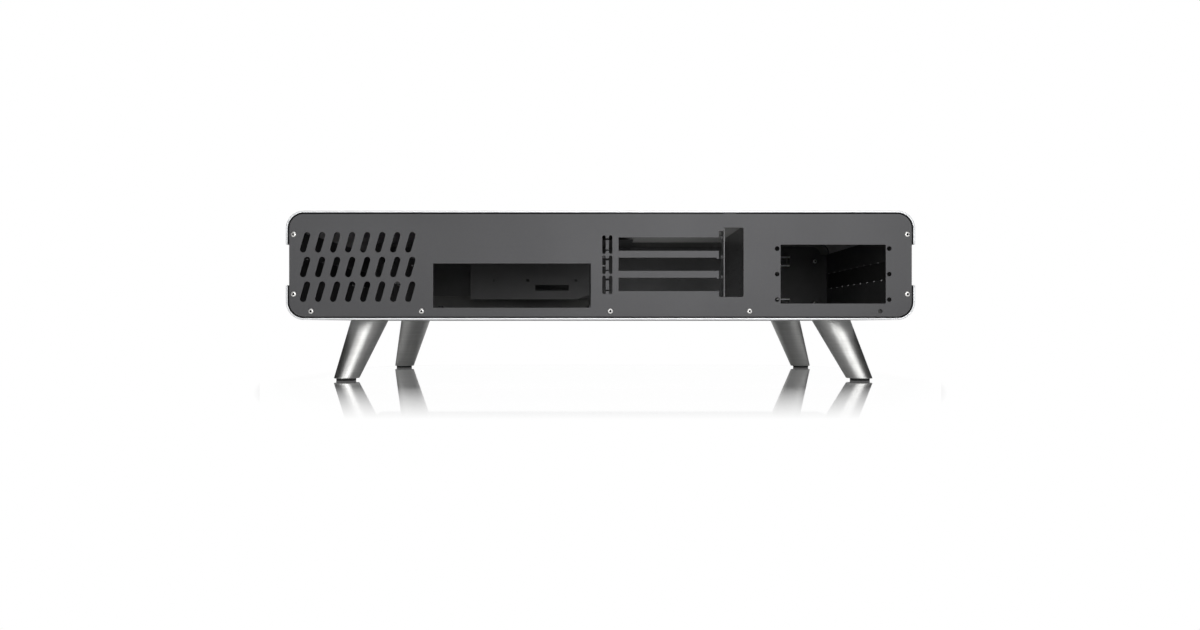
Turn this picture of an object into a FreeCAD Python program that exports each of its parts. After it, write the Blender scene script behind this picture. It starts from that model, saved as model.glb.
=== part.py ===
import FreeCAD, Part
import math
import os
import re
import PartDesign
import Sketcher

# Low, wide media computer case on four splayed legs.
# The frame is +Z up, with the origin on the ground in the middle of the case.
# The rear panel, with the board, card and power supply openings, faces -Y.
# Heights named "high" or "low" are measured from the underside of the case.

Vector = FreeCAD.Vector
Rotation = FreeCAD.Rotation
Placement = FreeCAD.Placement

SIZES = {
    # Case and shells
    "case_width": 634,
    "case_height": 110,
    "case_depth": 330,
    "stand_height": 63,
    "shell_wall": 2,
    "shell_corner_radius": 18,
    "bottom_side_height": 35,
    "top_side_height": 34,
    # Fits between pieces
    "seat_gap": 0.3,
    "panel_gap": 1.1,
    "fascia_gap": 0.1,
    "panel_inset": 0.5,
    # Sheet thicknesses
    "panel_wall": 2,
    "frame_wall": 1.5,
    "bend_radius": 2.5,
    # Chassis floor
    "floor_edge_gap": 1,
    "floor_flange_height": 10,
    # Side panels
    "side_panel_margin": 0.4,
    "rear_flange_width": 11.2,
    "front_flange_width": 24.7,
    "side_slot_pitch": 26,
    "side_slot_first": 22,
    "side_slot_last_gap": 20,
    "side_slot_low": 47,
    "side_slot_rise": 15,
    "side_slot_lean": 38,
    "side_slot_width": 7,
    # Dust mesh inside the side slots
    "filter_wall": 0.5,
    "filter_lift": 1.3,
    "filter_drop": 1.2,
    "filter_end_inset": 14,
    # Front wall of the chassis
    "front_wall_side_gap": 8.7,
    "front_wall_top_gap": 6,
    "front_wall_corner_radius": 12,
    "front_window_margin": 6,
    "front_window_low": 15,
    "front_window_high": 34.5,
    # Clips that hold the front panel
    "clip_reach": 66,
    "clip_low": 23.8,
    "clip_top_inset": 28.2,
    "clip_length": 18,
    "clip_depth": 8,
    "clip_wall": 1.8,
    "clip_prong_pitch": 11.7,
    "clip_window_width": 3,
    # Board opening and stand-offs
    "board_opening_width": 158.75,
    "board_opening_height": 44.45,
    "board_offset": 107.55,
    "board_opening_low": 12.25,
    "board_edge_gap": 2.1,
    "board_hole_inset": 10.16,
    "board_hole_span": 157.48,
    "board_hole_depth": 154.94,
    "board_corner_offset": 22.86,
    "standoff_height": 11,
    "standoff_width": 5.5,
    "standoff_bore": 2.8,
    "standoff_bore_depth": 8,
    # Card slots
    "card_pitch": 20.32,
    "card_slot_height": 13.2,
    "card_slot_low": 29.1,
    "finger_length": 101.15,
    "finger_hook_width": 2.4,
    "finger_hook_drop": 1.1,
    "rail_offset": 5,
    "strip_rise": 6.55,
    "recess_width": 19.6,
    "recess_low": 23.2,
    "recess_rise": 9.85,
    "recess_top_gap": 8,
    "recess_corner_radius": 1.5,
    # Slots for the tongues of the cards
    "tongue_offset": 11.45,
    "tongue_drop": 0.45,
    "tongue_slot_pitch": 6.7,
    "tongue_slot_width": 3.2,
    "tongue_slot_height": 18.5,
    "tongue_strap_height": 12.6,
    "tongue_strap_slope": 1.5,
    "tongue_strap_depth": 2.6,
    # Card rail
    "rail_wall": 1,
    "rail_depth": 18,
    "rail_tab_width": 12,
    "rail_tab_margin": 1,
    "rail_screw_rise": 8,
    "rail_screw_depth": 8.5,
    "rail_bore": 2.8,
    "rail_collar_width": 5,
    "rail_collar_height": 2,
    # Power supply opening
    "supply_side_distance": 82.4,
    "supply_centre_high": 46.1,
    "supply_opening_width": 105.8,
    "supply_opening_height": 59.2,
    "supply_hole_span": 113,
    "supply_hole_rise": 51.5,
    "supply_hole_width": 4.4,
    # Vents in the rear panel
    "vent_side_distance": 19.2,
    "vent_low": 28.4,
    "vent_board_gap": 20,
    "vent_top_gap": 20,
    "vent_column_pitch": 15.15,
    "vent_row_pitch": 24.9,
    "vent_rise": 15,
    "vent_lean": 16,
    "vent_width": 6,
    # Panel screws
    "side_screw_inset": 7.8,
    "side_screw_low": 25.9,
    "side_screw_top_inset": 23.9,
    "bottom_screw_high": 8.7,
    "left_screw_inset": 25.3,
    "right_screw_inset": 34.9,
    "left_middle_screw_share": -0.569,
    "middle_screw_share": 0.0315,
    "right_middle_screw_share": 0.474,
    "wall_screw_inset": 20.5,
    "wall_screw_low": 24.5,
    "wall_screw_top_inset": 27.8,
    "screw_head_width": 5.5,
    "screw_head_height": 1.5,
    "screw_rim_height": 0.6,
    "screw_crown_width": 4,
    "screw_shank_width": 2.9,
    "panel_screw_length": 5,
    "screw_socket_width": 2.3,
    "screw_socket_depth": 1,
    "screw_clearance": 0.2,
    "panel_hole_width": 4.2,
    # Divider between the card bay and the power supply bay
    "divider_distance": 71.6,
    "divider_offset": 18.9,
    "divider_wall": 1.2,
    "divider_foot_width": 12,
    "divider_front_gap": 70,
    # Drive cage
    "cage_offset": 73.3,
    "cage_length": 148.7,
    "cage_low": 26.3,
    "cage_inner_low": 30,
    "cage_top_gap": 6.5,
    "cage_wall": 1.2,
    "cage_depth": 115,
    "cage_ear_length": 54.8,
    "cage_flange_height": 12,
    "cage_corner_cut": 16,
    "cage_corner_rise": 6,
    "drive_width": 101.6,
    "drive_clearance": 0.6,
    "inner_plate_flange": 10,
    "drive_hole_high": 50.2,
    "drive_hole_first": 30.2,
    "drive_hole_second": 41.28,
    "drive_hole_third": 101.6,
    "drive_hole_width": 3.6,
    "cable_slot_left": 81.2,
    "cable_slot_length": 41.4,
    "cable_slot_low": 37.5,
    "cable_slot_height": 6.9,
    # Legs
    "leg_side_inset": 70.6,
    "leg_end_inset": 50.6,
    "leg_splay_left": 19,
    "leg_splay_right": 24.3,
    "leg_splay_end": 19,
    "leg_top_radius": 18.1,
    "leg_foot_radius": 12,
    "pad_radius": 10,
    "pad_height": 2.4,
    "leg_bore": 6,
    "leg_bore_depth": 22,
    "leg_screw_shank": 5.8,
    "leg_screw_length": 22,
    "leg_screw_head_width": 10.5,
    "leg_screw_head_height": 3.3,
    "leg_screw_socket": 4,
    "leg_screw_socket_depth": 2,
    "leg_screw_clearance": 0.6,
    # Power switch
    "switch_side_inset": 42,
    "switch_high": 55,
    "switch_barrel_width": 12,
    "switch_length": 22,
    "switch_bezel_width": 15,
    "switch_bezel_height": 1.5,
    "switch_clearance": 0.2,
    "switch_nut_width": 16,
    "switch_nut_height": 2.5,
    "button_width": 9.4,
    "button_length": 5,
    "button_clearance": 0.2,
    "button_recess": 0.3,
    "button_travel": 1.5,
}

# Edges and faces that several pieces share, each a formula of the sizes above
SHARED = {
    "half_width": "case_width / 2",
    "half_depth": "case_depth / 2",
    "shell_top": "stand_height + case_height",
    "shell_floor": "stand_height + shell_wall",
    "shell_ceiling": "shell_top - shell_wall",
    "inner_half_width": "half_width - shell_wall",
    "inner_corner_radius": "shell_corner_radius - shell_wall",
    "panel_half_width": "inner_half_width - panel_gap",
    "panel_low": "shell_floor + panel_gap",
    "panel_high": "shell_ceiling - panel_gap",
    "panel_corner_radius": "inner_corner_radius - panel_gap",
    "panel_face": "half_depth - panel_inset",
    "panel_back": "panel_face - panel_wall",
    "flange_back": "panel_back - frame_wall",
    "wall_back": "flange_back - frame_wall",
    "floor_top": "shell_floor + frame_wall",
    "floor_half_width": "half_width - shell_corner_radius - floor_edge_gap",
    "flange_top": "floor_top + floor_flange_height - frame_wall",
    "side_outer": "inner_half_width - seat_gap",
    "side_inner": "side_outer - frame_wall",
    "side_low": "stand_height + shell_corner_radius + side_panel_margin",
    "side_high": "shell_top - shell_corner_radius - side_panel_margin",
    "side_slot_room": "case_depth - side_slot_first - side_slot_last_gap",
    "side_slot_count": "floor(side_slot_room / side_slot_pitch) + 1",
    "filter_low": "stand_height + side_slot_low - side_slot_width / 2 + filter_lift",
    "side_slot_top": "stand_height + side_slot_low + side_slot_rise + side_slot_width / 2",
    "filter_high": "side_slot_top - filter_drop",
    "side_screw_low_z": "stand_height + side_screw_low",
    "side_screw_high_z": "shell_top - side_screw_top_inset",
    "wall_screw_low_z": "stand_height + wall_screw_low",
    "wall_screw_high_z": "shell_top - wall_screw_top_inset",
    "wall_half_width": "side_inner - front_wall_side_gap",
    "wall_low": "floor_top + bend_radius - frame_wall",
    "wall_high": "shell_ceiling - front_wall_top_gap",
    "supply_centre": "half_width - supply_side_distance",
    "supply_low": "stand_height + supply_centre_high - supply_opening_height / 2",
    "divider_face": "supply_centre - divider_distance",
    "recess_right": "divider_face - divider_offset",
    "rail_face": "recess_right - recess_width",
    "finger_end": "rail_face - rail_offset",
    "card_slot_left": "finger_end - finger_length",
    "card_room": "case_height - card_slot_low - card_slot_height - recess_rise - recess_top_gap",
    "card_count": "floor(card_room / card_pitch) + 1",
    "card_top": "stand_height + card_slot_low + card_pitch * (card_count - 1) + card_slot_height",
    "recess_high": "card_top + recess_rise",
    "rail_low": "flange_top + seat_gap",
    "rail_high": "shell_ceiling - seat_gap",
    "tongue_centre": "card_slot_left - tongue_offset",
    "board_centre": "card_slot_left - board_offset",
    "board_left": "board_centre - board_opening_width / 2",
    "board_right": "board_centre + board_opening_width / 2",
    "vent_left": "-half_width + vent_side_distance",
    "vent_columns": "floor((board_left - vent_board_gap - vent_left) / vent_column_pitch) + 1",
    "vent_rows": "floor((case_height - vent_low - vent_top_gap) / vent_row_pitch) + 1",
    "cage_left": "board_centre - cage_offset",
    "cage_right": "cage_left + cage_length",
    "cage_top": "shell_ceiling - cage_top_gap",
    "cage_front": "wall_back",
    "cage_rear": "wall_back - cage_depth",
    "leg_x": "half_width - leg_side_inset",
    "leg_y": "half_depth - leg_end_inset",
    "leg_rise": "stand_height - pad_height",
    "board_row": "board_hole_inset + board_edge_gap - panel_back",
    "switch_x": "-half_width + switch_side_inset",
    "bezel_face": "panel_face + switch_bezel_height",
    "button_bore_depth": "button_length + button_travel + 2 * button_recess",
}

document = FreeCAD.newDocument("media_case")
table = document.addObject("Spreadsheet::Sheet", "Sizes")
for row, (name, size) in enumerate(SIZES.items(), start=1):
    table.set("A%d" % row, name.replace("_", " "))
    table.set("B%d" % row, str(size))
    table.setAlias("B%d" % row, name)
document.recompute()

finished = []


def formula(text):
    """Write a formula of sizes and shared edges as an expression on the table's cells."""
    def spell(match):
        word = match.group(0)
        if word in SHARED:
            return "(" + formula(SHARED[word]) + ")"
        return "Sizes." + word if word in SIZES else word
    return re.sub(r"[a-z_]+", spell, str(text))


def number(text):
    """Work out a formula of sizes and shared edges."""
    return float(table.evalExpression(formula(text)))


def bind(item, **formulas):
    """Bind properties of an object to formulas; a double underscore stands for a dot."""
    for path, text in formulas.items():
        item.setExpression(path.replace("__", "."), formula(text))


def locate(item, x, y, z, turn=None):
    """Place an object at three formulas, with an optional fixed turn."""
    item.Placement = Placement(Vector(number(x), number(y), number(z)), turn or Rotation())
    bind(item, Placement__Base__x=x, Placement__Base__y=y, Placement__Base__z=z)


def finish(item):
    """Note an object as one of the finished pieces."""
    finished.append(item)
    return item


def start_body(name):
    body = document.addObject("PartDesign::Body", name)
    body.Label = name
    return body


def add_sketch(body, name, role, offset="0"):
    """Attach a sketch to one of the body's origin planes, moved along the plane's normal."""
    plane = next(item for item in body.Origin.OriginFeatures if item.Role == role)
    sketch = body.newObject("Sketcher::SketchObject", body.Name + "_" + name)
    sketch.AttachmentSupport = [(plane, "")]
    sketch.MapMode = "FlatFace"
    sketch.AttachmentOffset = Placement(Vector(0, 0, number(offset)), Rotation())
    bind(sketch, AttachmentOffset__Base__z=offset)
    return sketch


def hold(sketch, kind, places, text):
    """Add one dimension to a sketch and bind it to a formula."""
    index = sketch.addConstraint(Sketcher.Constraint(kind, *places, number(text)))
    sketch.setExpression("Constraints[%d]" % index, formula(text))


def hold_point(sketch, piece, end, x, y):
    hold(sketch, "DistanceX", (-1, 1, piece, end), x)
    hold(sketch, "DistanceY", (-1, 1, piece, end), y)


def draw_circle(sketch, x, y, width):
    centre = Vector(number(x), number(y), 0)
    piece = sketch.addGeometry(Part.Circle(centre, Vector(0, 0, 1), number(width) / 2), False)
    hold_point(sketch, piece, 3, x, y)
    hold(sketch, "Radius", (piece,), "(%s) / 2" % width)


def draw_outline(sketch, corners):
    """Draw a closed outline through corners (x, y), or (x, y, radius) at a rounded right angle."""
    points = [Vector(number(c[0]), number(c[1]), 0) for c in corners]
    count = len(points)
    ends = []
    arcs = {}
    for i, corner in enumerate(corners):
        way_in = (points[i] - points[i - 1]).normalize()
        way_out = (points[(i + 1) % count] - points[i]).normalize()
        radius = number(corner[2]) if len(corner) == 3 else 0
        first = points[i] - way_in * radius
        last = points[i] + way_out * radius
        ends.append((first, last))
        if radius:
            middle = points[i] - way_in * radius + way_out * radius
            left_turn = way_in.cross(way_out).z > 0
            run = (first, last) if left_turn else (last, first)
            angles = [math.atan2(p.y - middle.y, p.x - middle.x) for p in run]
            circle = Part.Circle(middle, Vector(0, 0, 1), radius)
            arc = sketch.addGeometry(Part.ArcOfCircle(circle, *angles), False)
            arcs[i] = (arc, 1 if left_turn else 2, 2 if left_turn else 1)
            side_x = round(way_in.x - way_out.x)
            side_y = round(way_in.y - way_out.y)
            hold_point(sketch, arc, 3, "%s - %d * (%s)" % (corner[0], side_x, corner[2]),
                       "%s - %d * (%s)" % (corner[1], side_y, corner[2]))
            hold(sketch, "Radius", (arc,), corner[2])
    lines = []
    for i in range(count):
        run = Part.LineSegment(ends[i][1], ends[(i + 1) % count][0])
        lines.append(sketch.addGeometry(run, False))
    for i, corner in enumerate(corners):
        before = lines[i - 1]
        after = lines[i]
        if i in arcs:
            arc, entry, leave = arcs[i]
            sketch.addConstraint(Sketcher.Constraint("Tangent", before, 2, arc, entry))
            sketch.addConstraint(Sketcher.Constraint("Tangent", after, 1, arc, leave))
        else:
            sketch.addConstraint(Sketcher.Constraint("Coincident", before, 2, after, 1))
            hold_point(sketch, after, 1, corner[0], corner[1])


def draw_box(sketch, left, low, right, high, radius=None):
    corners = [(left, low), (right, low), (right, high), (left, high)]
    if radius:
        corners = [corner + (radius,) for corner in corners]
    draw_outline(sketch, corners)


def draw_slot(sketch, x, y, half_x, half_y, width):
    """Draw a slot with round ends whose end centres lie half_x and half_y either side of x, y."""
    middle = Vector(number(x), number(y), 0)
    reach = Vector(number(half_x), number(half_y), 0)
    radius = number(width) / 2
    side = Vector(reach.y, -reach.x, 0).normalize() * radius
    slope = math.atan2(reach.y, reach.x)
    quarter = math.pi / 2
    top = Part.Circle(middle + reach, Vector(0, 0, 1), radius)
    foot = Part.Circle(middle - reach, Vector(0, 0, 1), radius)
    top_arc = sketch.addGeometry(Part.ArcOfCircle(top, slope - quarter, slope + quarter), False)
    foot_arc = sketch.addGeometry(Part.ArcOfCircle(foot, slope + quarter, slope + 3 * quarter), False)
    right = sketch.addGeometry(Part.LineSegment(middle - reach + side, middle + reach + side), False)
    left = sketch.addGeometry(Part.LineSegment(middle + reach - side, middle - reach - side), False)
    for line, end, arc, arc_end in ((right, 2, top_arc, 1), (left, 1, top_arc, 2),
                                    (left, 2, foot_arc, 1), (right, 1, foot_arc, 2)):
        sketch.addConstraint(Sketcher.Constraint("Tangent", line, end, arc, arc_end))
    hold_point(sketch, top_arc, 3, "%s + %s" % (x, half_x), "%s + %s" % (y, half_y))
    hold_point(sketch, foot_arc, 3, "%s - %s" % (x, half_x), "%s - %s" % (y, half_y))
    hold(sketch, "Radius", (top_arc,), "(%s) / 2" % width)
    sketch.addConstraint(Sketcher.Constraint("Equal", top_arc, foot_arc))


def add_pad(body, sketch, length, side="One side", backwards=False):
    pad = body.newObject("PartDesign::Pad", sketch.Name + "_pad")
    pad.Profile = sketch
    pad.SideType = side
    pad.Reversed = backwards
    bind(pad, Length=length)
    document.recompute()
    return pad


def add_pocket(body, sketch, length=None, backwards=False):
    """Cut a sketch through the whole body, or to a length away from the sketch's normal."""
    before = body.Shape.Volume
    pocket = body.newObject("PartDesign::Pocket", sketch.Name + "_cut")
    pocket.Profile = sketch
    if length is None:
        pocket.Type = "ThroughAll"
        pocket.SideType = "Symmetric"
    else:
        pocket.Type = "Length"
        pocket.Reversed = backwards
        bind(pocket, Length=length)
    document.recompute()
    if not body.Shape.Volume < before:
        raise RuntimeError(sketch.Name + " cuts nothing")
    return pocket


def repeat(body, originals, sketch, axis, extent, occurrences, extent_up=None, occurrences_up=None):
    """Repeat features along a sketch axis, and along its V axis too if a second extent is given."""
    pattern = body.newObject("PartDesign::LinearPattern", originals[0].Name + "_row")
    pattern.Originals = originals
    pattern.Direction = (sketch, [axis])
    bind(pattern, Length=extent, Occurrences=occurrences)
    if extent_up:
        pattern.Direction2 = (sketch, ["V_Axis"])
        bind(pattern, Length2=extent_up, Occurrences2=occurrences_up)
    body.Tip = pattern
    document.recompute()
    return pattern


def bottom_shell():
    """Lower half of the aluminium skin: one folded sheet, open at both ends."""
    body = start_body("bottom_shell")
    rim = "stand_height + bottom_side_height"
    sketch = add_sketch(body, "profile", "XZ_Plane")
    draw_outline(sketch, [
        ("-half_width", rim),
        ("-half_width", "stand_height", "shell_corner_radius"),
        ("half_width", "stand_height", "shell_corner_radius"),
        ("half_width", rim),
        ("inner_half_width", rim),
        ("inner_half_width", "shell_floor", "inner_corner_radius"),
        ("-inner_half_width", "shell_floor", "inner_corner_radius"),
        ("-inner_half_width", rim),
    ])
    add_pad(body, sketch, "case_depth", "Symmetric")
    leg_holes(body)
    return finish(body)


def top_cover():
    """Upper half of the aluminium skin, the same fold turned over."""
    body = start_body("top_cover")
    rim = "shell_top - top_side_height"
    sketch = add_sketch(body, "profile", "XZ_Plane")
    draw_outline(sketch, [
        ("half_width", rim),
        ("half_width", "shell_top", "shell_corner_radius"),
        ("-half_width", "shell_top", "shell_corner_radius"),
        ("-half_width", rim),
        ("-inner_half_width", rim),
        ("-inner_half_width", "shell_ceiling", "inner_corner_radius"),
        ("inner_half_width", "shell_ceiling", "inner_corner_radius"),
        ("inner_half_width", rim),
    ])
    add_pad(body, sketch, "case_depth", "Symmetric")
    return finish(body)


def leg_holes(body):
    """Clearance holes for the four leg screws."""
    sketch = add_sketch(body, "leg_holes", "XY_Plane", "stand_height")
    for x in ("leg_x", "-leg_x"):
        for y in ("leg_y", "-leg_y"):
            draw_circle(sketch, x, y, "leg_screw_shank + leg_screw_clearance")
    add_pocket(body, sketch)


def side_screw_places():
    return [(side + "(half_width - side_screw_inset)", height)
            for side in ("", "-") for height in ("side_screw_low_z", "side_screw_high_z")]


def bottom_screw_places():
    """Screws along the lower edge; the last place on the right is left empty."""
    across = ["-half_width + left_screw_inset", "half_width * left_middle_screw_share",
              "half_width * middle_screw_share", "half_width * right_middle_screw_share"]
    return [(x, "stand_height + bottom_screw_high") for x in across]


def spare_hole_place():
    return ("half_width - right_screw_inset", "stand_height + bottom_screw_high")


def wall_screw_places():
    return [(side + "(half_width - wall_screw_inset)", height)
            for side in ("", "-") for height in ("wall_screw_low_z", "wall_screw_high_z")]


def rear_panel():
    """Rear panel with every opening that the rear of a computer needs."""
    body = start_body("rear_panel")
    plane = ("XZ_Plane", "panel_face")
    sketch = add_sketch(body, "outline", *plane)
    draw_box(sketch, "-panel_half_width", "panel_low", "panel_half_width", "panel_high",
             "panel_corner_radius")
    add_pad(body, sketch, "panel_wall", backwards=True)

    openings = add_sketch(body, "openings", *plane)
    draw_box(openings, "board_left", "stand_height + board_opening_low",
             "board_right", "stand_height + board_opening_low + board_opening_height")
    draw_box(openings, "supply_centre - supply_opening_width / 2", "supply_low",
             "supply_centre + supply_opening_width / 2", "supply_low + supply_opening_height",
             "recess_corner_radius / 2")
    draw_outline(openings, card_comb())
    add_pocket(body, openings)

    holes = add_sketch(body, "screw_holes", *plane)
    for x, z in side_screw_places() + bottom_screw_places() + [spare_hole_place()]:
        draw_circle(holes, x, z, "panel_hole_width")
    add_pocket(body, holes)

    supply_holes = add_sketch(body, "supply_holes", *plane)
    for side in ("-", "+"):
        for rise in ("- supply_hole_rise / 2", "", "+ supply_hole_rise / 2"):
            draw_circle(supply_holes, "supply_centre %s supply_hole_span / 2" % side,
                        "stand_height + supply_centre_high " + rise, "supply_hole_width")
    add_pocket(body, supply_holes)

    vent = add_sketch(body, "vent", *plane)
    draw_slot(vent, "vent_left", "stand_height + vent_low",
              "vent_rise / 2 * sin(vent_lean)", "vent_rise / 2 * cos(vent_lean)", "vent_width")
    vent_cut = add_pocket(body, vent)
    repeat(body, [vent_cut], vent, "H_Axis", "vent_column_pitch * (vent_columns - 1)", "vent_columns",
           "vent_row_pitch * (vent_rows - 1)", "vent_rows")

    tongue_slots(body)
    return finish(body)


def card_comb():
    """Card slots, the fingers between them and the screw recess as one outline."""
    corners = [("recess_right", "recess_high", "recess_corner_radius"),
               ("rail_face", "recess_high"),
               ("rail_face", "card_top + strip_rise"),
               ("finger_end", "card_top + strip_rise")]
    cards = int(number("card_count"))
    for card in reversed(range(cards)):
        low = "stand_height + card_slot_low + card_pitch * %d" % card
        high = low + " + card_slot_height"
        if card < cards - 1:
            corners += [("finger_end", high + " - finger_hook_drop"),
                        ("finger_end - finger_hook_width", high + " - finger_hook_drop"),
                        ("finger_end - finger_hook_width", high)]
        else:
            corners += [("finger_end", high)]
        corners += [("card_slot_left", high), ("card_slot_left", low), ("finger_end", low)]
    corners += [("finger_end", "stand_height + recess_low"),
                ("recess_right", "stand_height + recess_low", "recess_corner_radius")]
    return corners


def tongue_slots(body):
    """Twin slots for each card's tongue, with the strap between them pressed inwards."""
    middle = "stand_height + card_slot_low + card_slot_height / 2 - tongue_drop"
    slots = add_sketch(body, "tongue_slots", "XZ_Plane", "panel_face")
    for side in ("-", "+"):
        draw_slot(slots, "tongue_centre %s tongue_slot_pitch / 2" % side, middle, "0",
                  "(tongue_slot_height - tongue_slot_width) / 2", "tongue_slot_width")
    slots_cut = add_pocket(body, slots)

    window = add_sketch(body, "strap_window", "XZ_Plane", "panel_face")
    draw_box(window, "tongue_centre - tongue_slot_pitch / 2", middle + " - tongue_strap_height / 2",
             "tongue_centre + tongue_slot_pitch / 2", middle + " + tongue_strap_height / 2")
    window_cut = add_pocket(body, window)

    strap = add_sketch(body, "strap", "YZ_Plane", "tongue_centre")
    low = middle + " - tongue_strap_height / 2"
    high = middle + " + tongue_strap_height / 2"
    draw_outline(strap, [
        ("-panel_face", low),
        ("-panel_back", low),
        ("-panel_back + tongue_strap_depth", low + " + tongue_strap_slope"),
        ("-panel_back + tongue_strap_depth", high + " - tongue_strap_slope"),
        ("-panel_back", high),
        ("-panel_face", high),
        ("-panel_face + tongue_strap_depth", high + " - tongue_strap_slope"),
        ("-panel_face + tongue_strap_depth", low + " + tongue_strap_slope"),
    ])
    strap_pad = add_pad(body, strap, "tongue_slot_pitch - tongue_slot_width", "Symmetric")
    repeat(body, [slots_cut, window_cut, strap_pad], slots, "V_Axis",
           "card_pitch * (card_count - 1)", "card_count")


def front_panel():
    """Plain front panel, a close fit in the skin, with the hole for the power switch."""
    body = start_body("front_panel")
    sketch = add_sketch(body, "outline", "XZ_Plane", "-panel_face")
    draw_box(sketch, "-(inner_half_width - fascia_gap)", "shell_floor + fascia_gap",
             "inner_half_width - fascia_gap", "shell_ceiling - fascia_gap",
             "inner_corner_radius - fascia_gap")
    add_pad(body, sketch, "panel_wall")
    hole = add_sketch(body, "switch_hole", "XZ_Plane", "-panel_face")
    draw_circle(hole, "switch_x", "stand_height + switch_high",
                "switch_barrel_width + switch_clearance")
    add_pocket(body, hole)
    return finish(body)


def chassis_floor():
    """Floor of the chassis, its ends folded up behind the rear panel and the front wall."""
    body = start_body("chassis_floor")
    sketch = add_sketch(body, "profile", "YZ_Plane")
    draw_outline(sketch, [
        ("-panel_back", "shell_floor", "bend_radius"),
        ("panel_back", "shell_floor", "bend_radius"),
        ("panel_back", "flange_top"),
        ("flange_back", "flange_top"),
        ("flange_back", "floor_top", "bend_radius - frame_wall"),
        ("-flange_back", "floor_top", "bend_radius - frame_wall"),
        ("-flange_back", "flange_top"),
        ("-panel_back", "flange_top"),
    ])
    add_pad(body, sketch, "2 * floor_half_width", "Symmetric")
    leg_holes(body)
    tapped = add_sketch(body, "tapped_holes", "XZ_Plane", "panel_back")
    for x, z in bottom_screw_places() + [spare_hole_place()]:
        draw_circle(tapped, x, z, "screw_shank_width + screw_clearance")
    add_pocket(body, tapped, "frame_wall")
    return finish(body)


def side_panel(name, side):
    """Side of the chassis with a row of leaning slots, folded in at the rear and the front."""
    body = start_body(name)
    outer = side + "side_outer"
    sketch = add_sketch(body, "profile", "XY_Plane", "side_low")
    draw_outline(sketch, [
        (outer, "-panel_back", "bend_radius"),
        (outer, "panel_back", "bend_radius"),
        (side + "(side_outer - front_flange_width)", "panel_back"),
        (side + "(side_outer - front_flange_width)", "flange_back"),
        (side + "side_inner", "flange_back", "bend_radius - frame_wall"),
        (side + "side_inner", "-flange_back", "bend_radius - frame_wall"),
        (side + "(side_outer - rear_flange_width)", "-flange_back"),
        (side + "(side_outer - rear_flange_width)", "-panel_back"),
    ])
    add_pad(body, sketch, "side_high - side_low")

    slot = add_sketch(body, "slot", "YZ_Plane")
    draw_slot(slot, "-half_depth + side_slot_first",
              "stand_height + side_slot_low + side_slot_rise / 2",
              "side_slot_rise / 2 * tan(side_slot_lean)", "side_slot_rise / 2", "side_slot_width")
    slot_cut = add_pocket(body, slot)
    repeat(body, [slot_cut], slot, "H_Axis", "side_slot_pitch * (side_slot_count - 1)",
           "side_slot_count")

    rear_holes = add_sketch(body, "rear_holes", "XZ_Plane", "panel_back")
    for height in ("side_screw_low_z", "side_screw_high_z"):
        draw_circle(rear_holes, side + "(half_width - side_screw_inset)", height,
                    "screw_shank_width + screw_clearance")
    add_pocket(body, rear_holes, "frame_wall")

    front_holes = add_sketch(body, "front_holes", "XZ_Plane", "-panel_back")
    for height in ("wall_screw_low_z", "wall_screw_high_z"):
        draw_circle(front_holes, side + "(half_width - wall_screw_inset)", height,
                    "screw_shank_width + screw_clearance")
    add_pocket(body, front_holes, "frame_wall", backwards=True)
    return finish(body)


def side_filter(name, side):
    """Strip of black dust mesh along the inside of a side panel's slots."""
    body = start_body(name)
    sketch = add_sketch(body, "outline", "YZ_Plane", side + "side_inner")
    draw_box(sketch, "-half_depth + filter_end_inset", "filter_low",
             "half_depth - filter_end_inset", "filter_high")
    add_pad(body, sketch, "filter_wall", backwards=not side)
    return finish(body)


def clip_centres():
    """Centres of the six clips: three across, in two rows."""
    across = ["-half_width + clip_reach", "0", "half_width - clip_reach"]
    heights = ["stand_height + clip_low", "shell_top - clip_top_inset"]
    return [(x, z) for x in across for z in heights]


def front_wall():
    """Front wall of the chassis, behind the front panel."""
    body = start_body("front_wall")
    sketch = add_sketch(body, "outline", "XZ_Plane", "-flange_back")
    draw_outline(sketch, [
        ("-floor_half_width", "wall_low"),
        ("floor_half_width", "wall_low"),
        ("floor_half_width", "side_low"),
        ("wall_half_width", "side_low"),
        ("wall_half_width", "wall_high", "front_wall_corner_radius"),
        ("-wall_half_width", "wall_high", "front_wall_corner_radius"),
        ("-wall_half_width", "side_low"),
        ("-floor_half_width", "side_low"),
    ])
    add_pad(body, sketch, "frame_wall")
    holes = add_sketch(body, "holes", "XZ_Plane", "-flange_back")
    clip_end = "clip_length / 2 + front_window_margin"
    draw_box(holes, "-half_width + clip_reach + " + clip_end, "stand_height + front_window_low",
             "-(%s)" % clip_end, "stand_height + front_window_high", "bend_radius")
    for x, z in wall_screw_places():
        draw_circle(holes, x, z, "screw_shank_width + screw_clearance")
    for x, z in clip_centres():
        right = x + " + clip_length / 2"
        reach = "(clip_prong_pitch - clip_wall) / 2 - clip_wall / 2"
        draw_box(holes, right + " - clip_window_width", "%s - (%s)" % (z, reach),
                 right, "%s + (%s)" % (z, reach))
    draw_circle(holes, "switch_x", "stand_height + switch_high",
                "switch_barrel_width + switch_clearance")
    add_pocket(body, holes)
    return finish(body)


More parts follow.
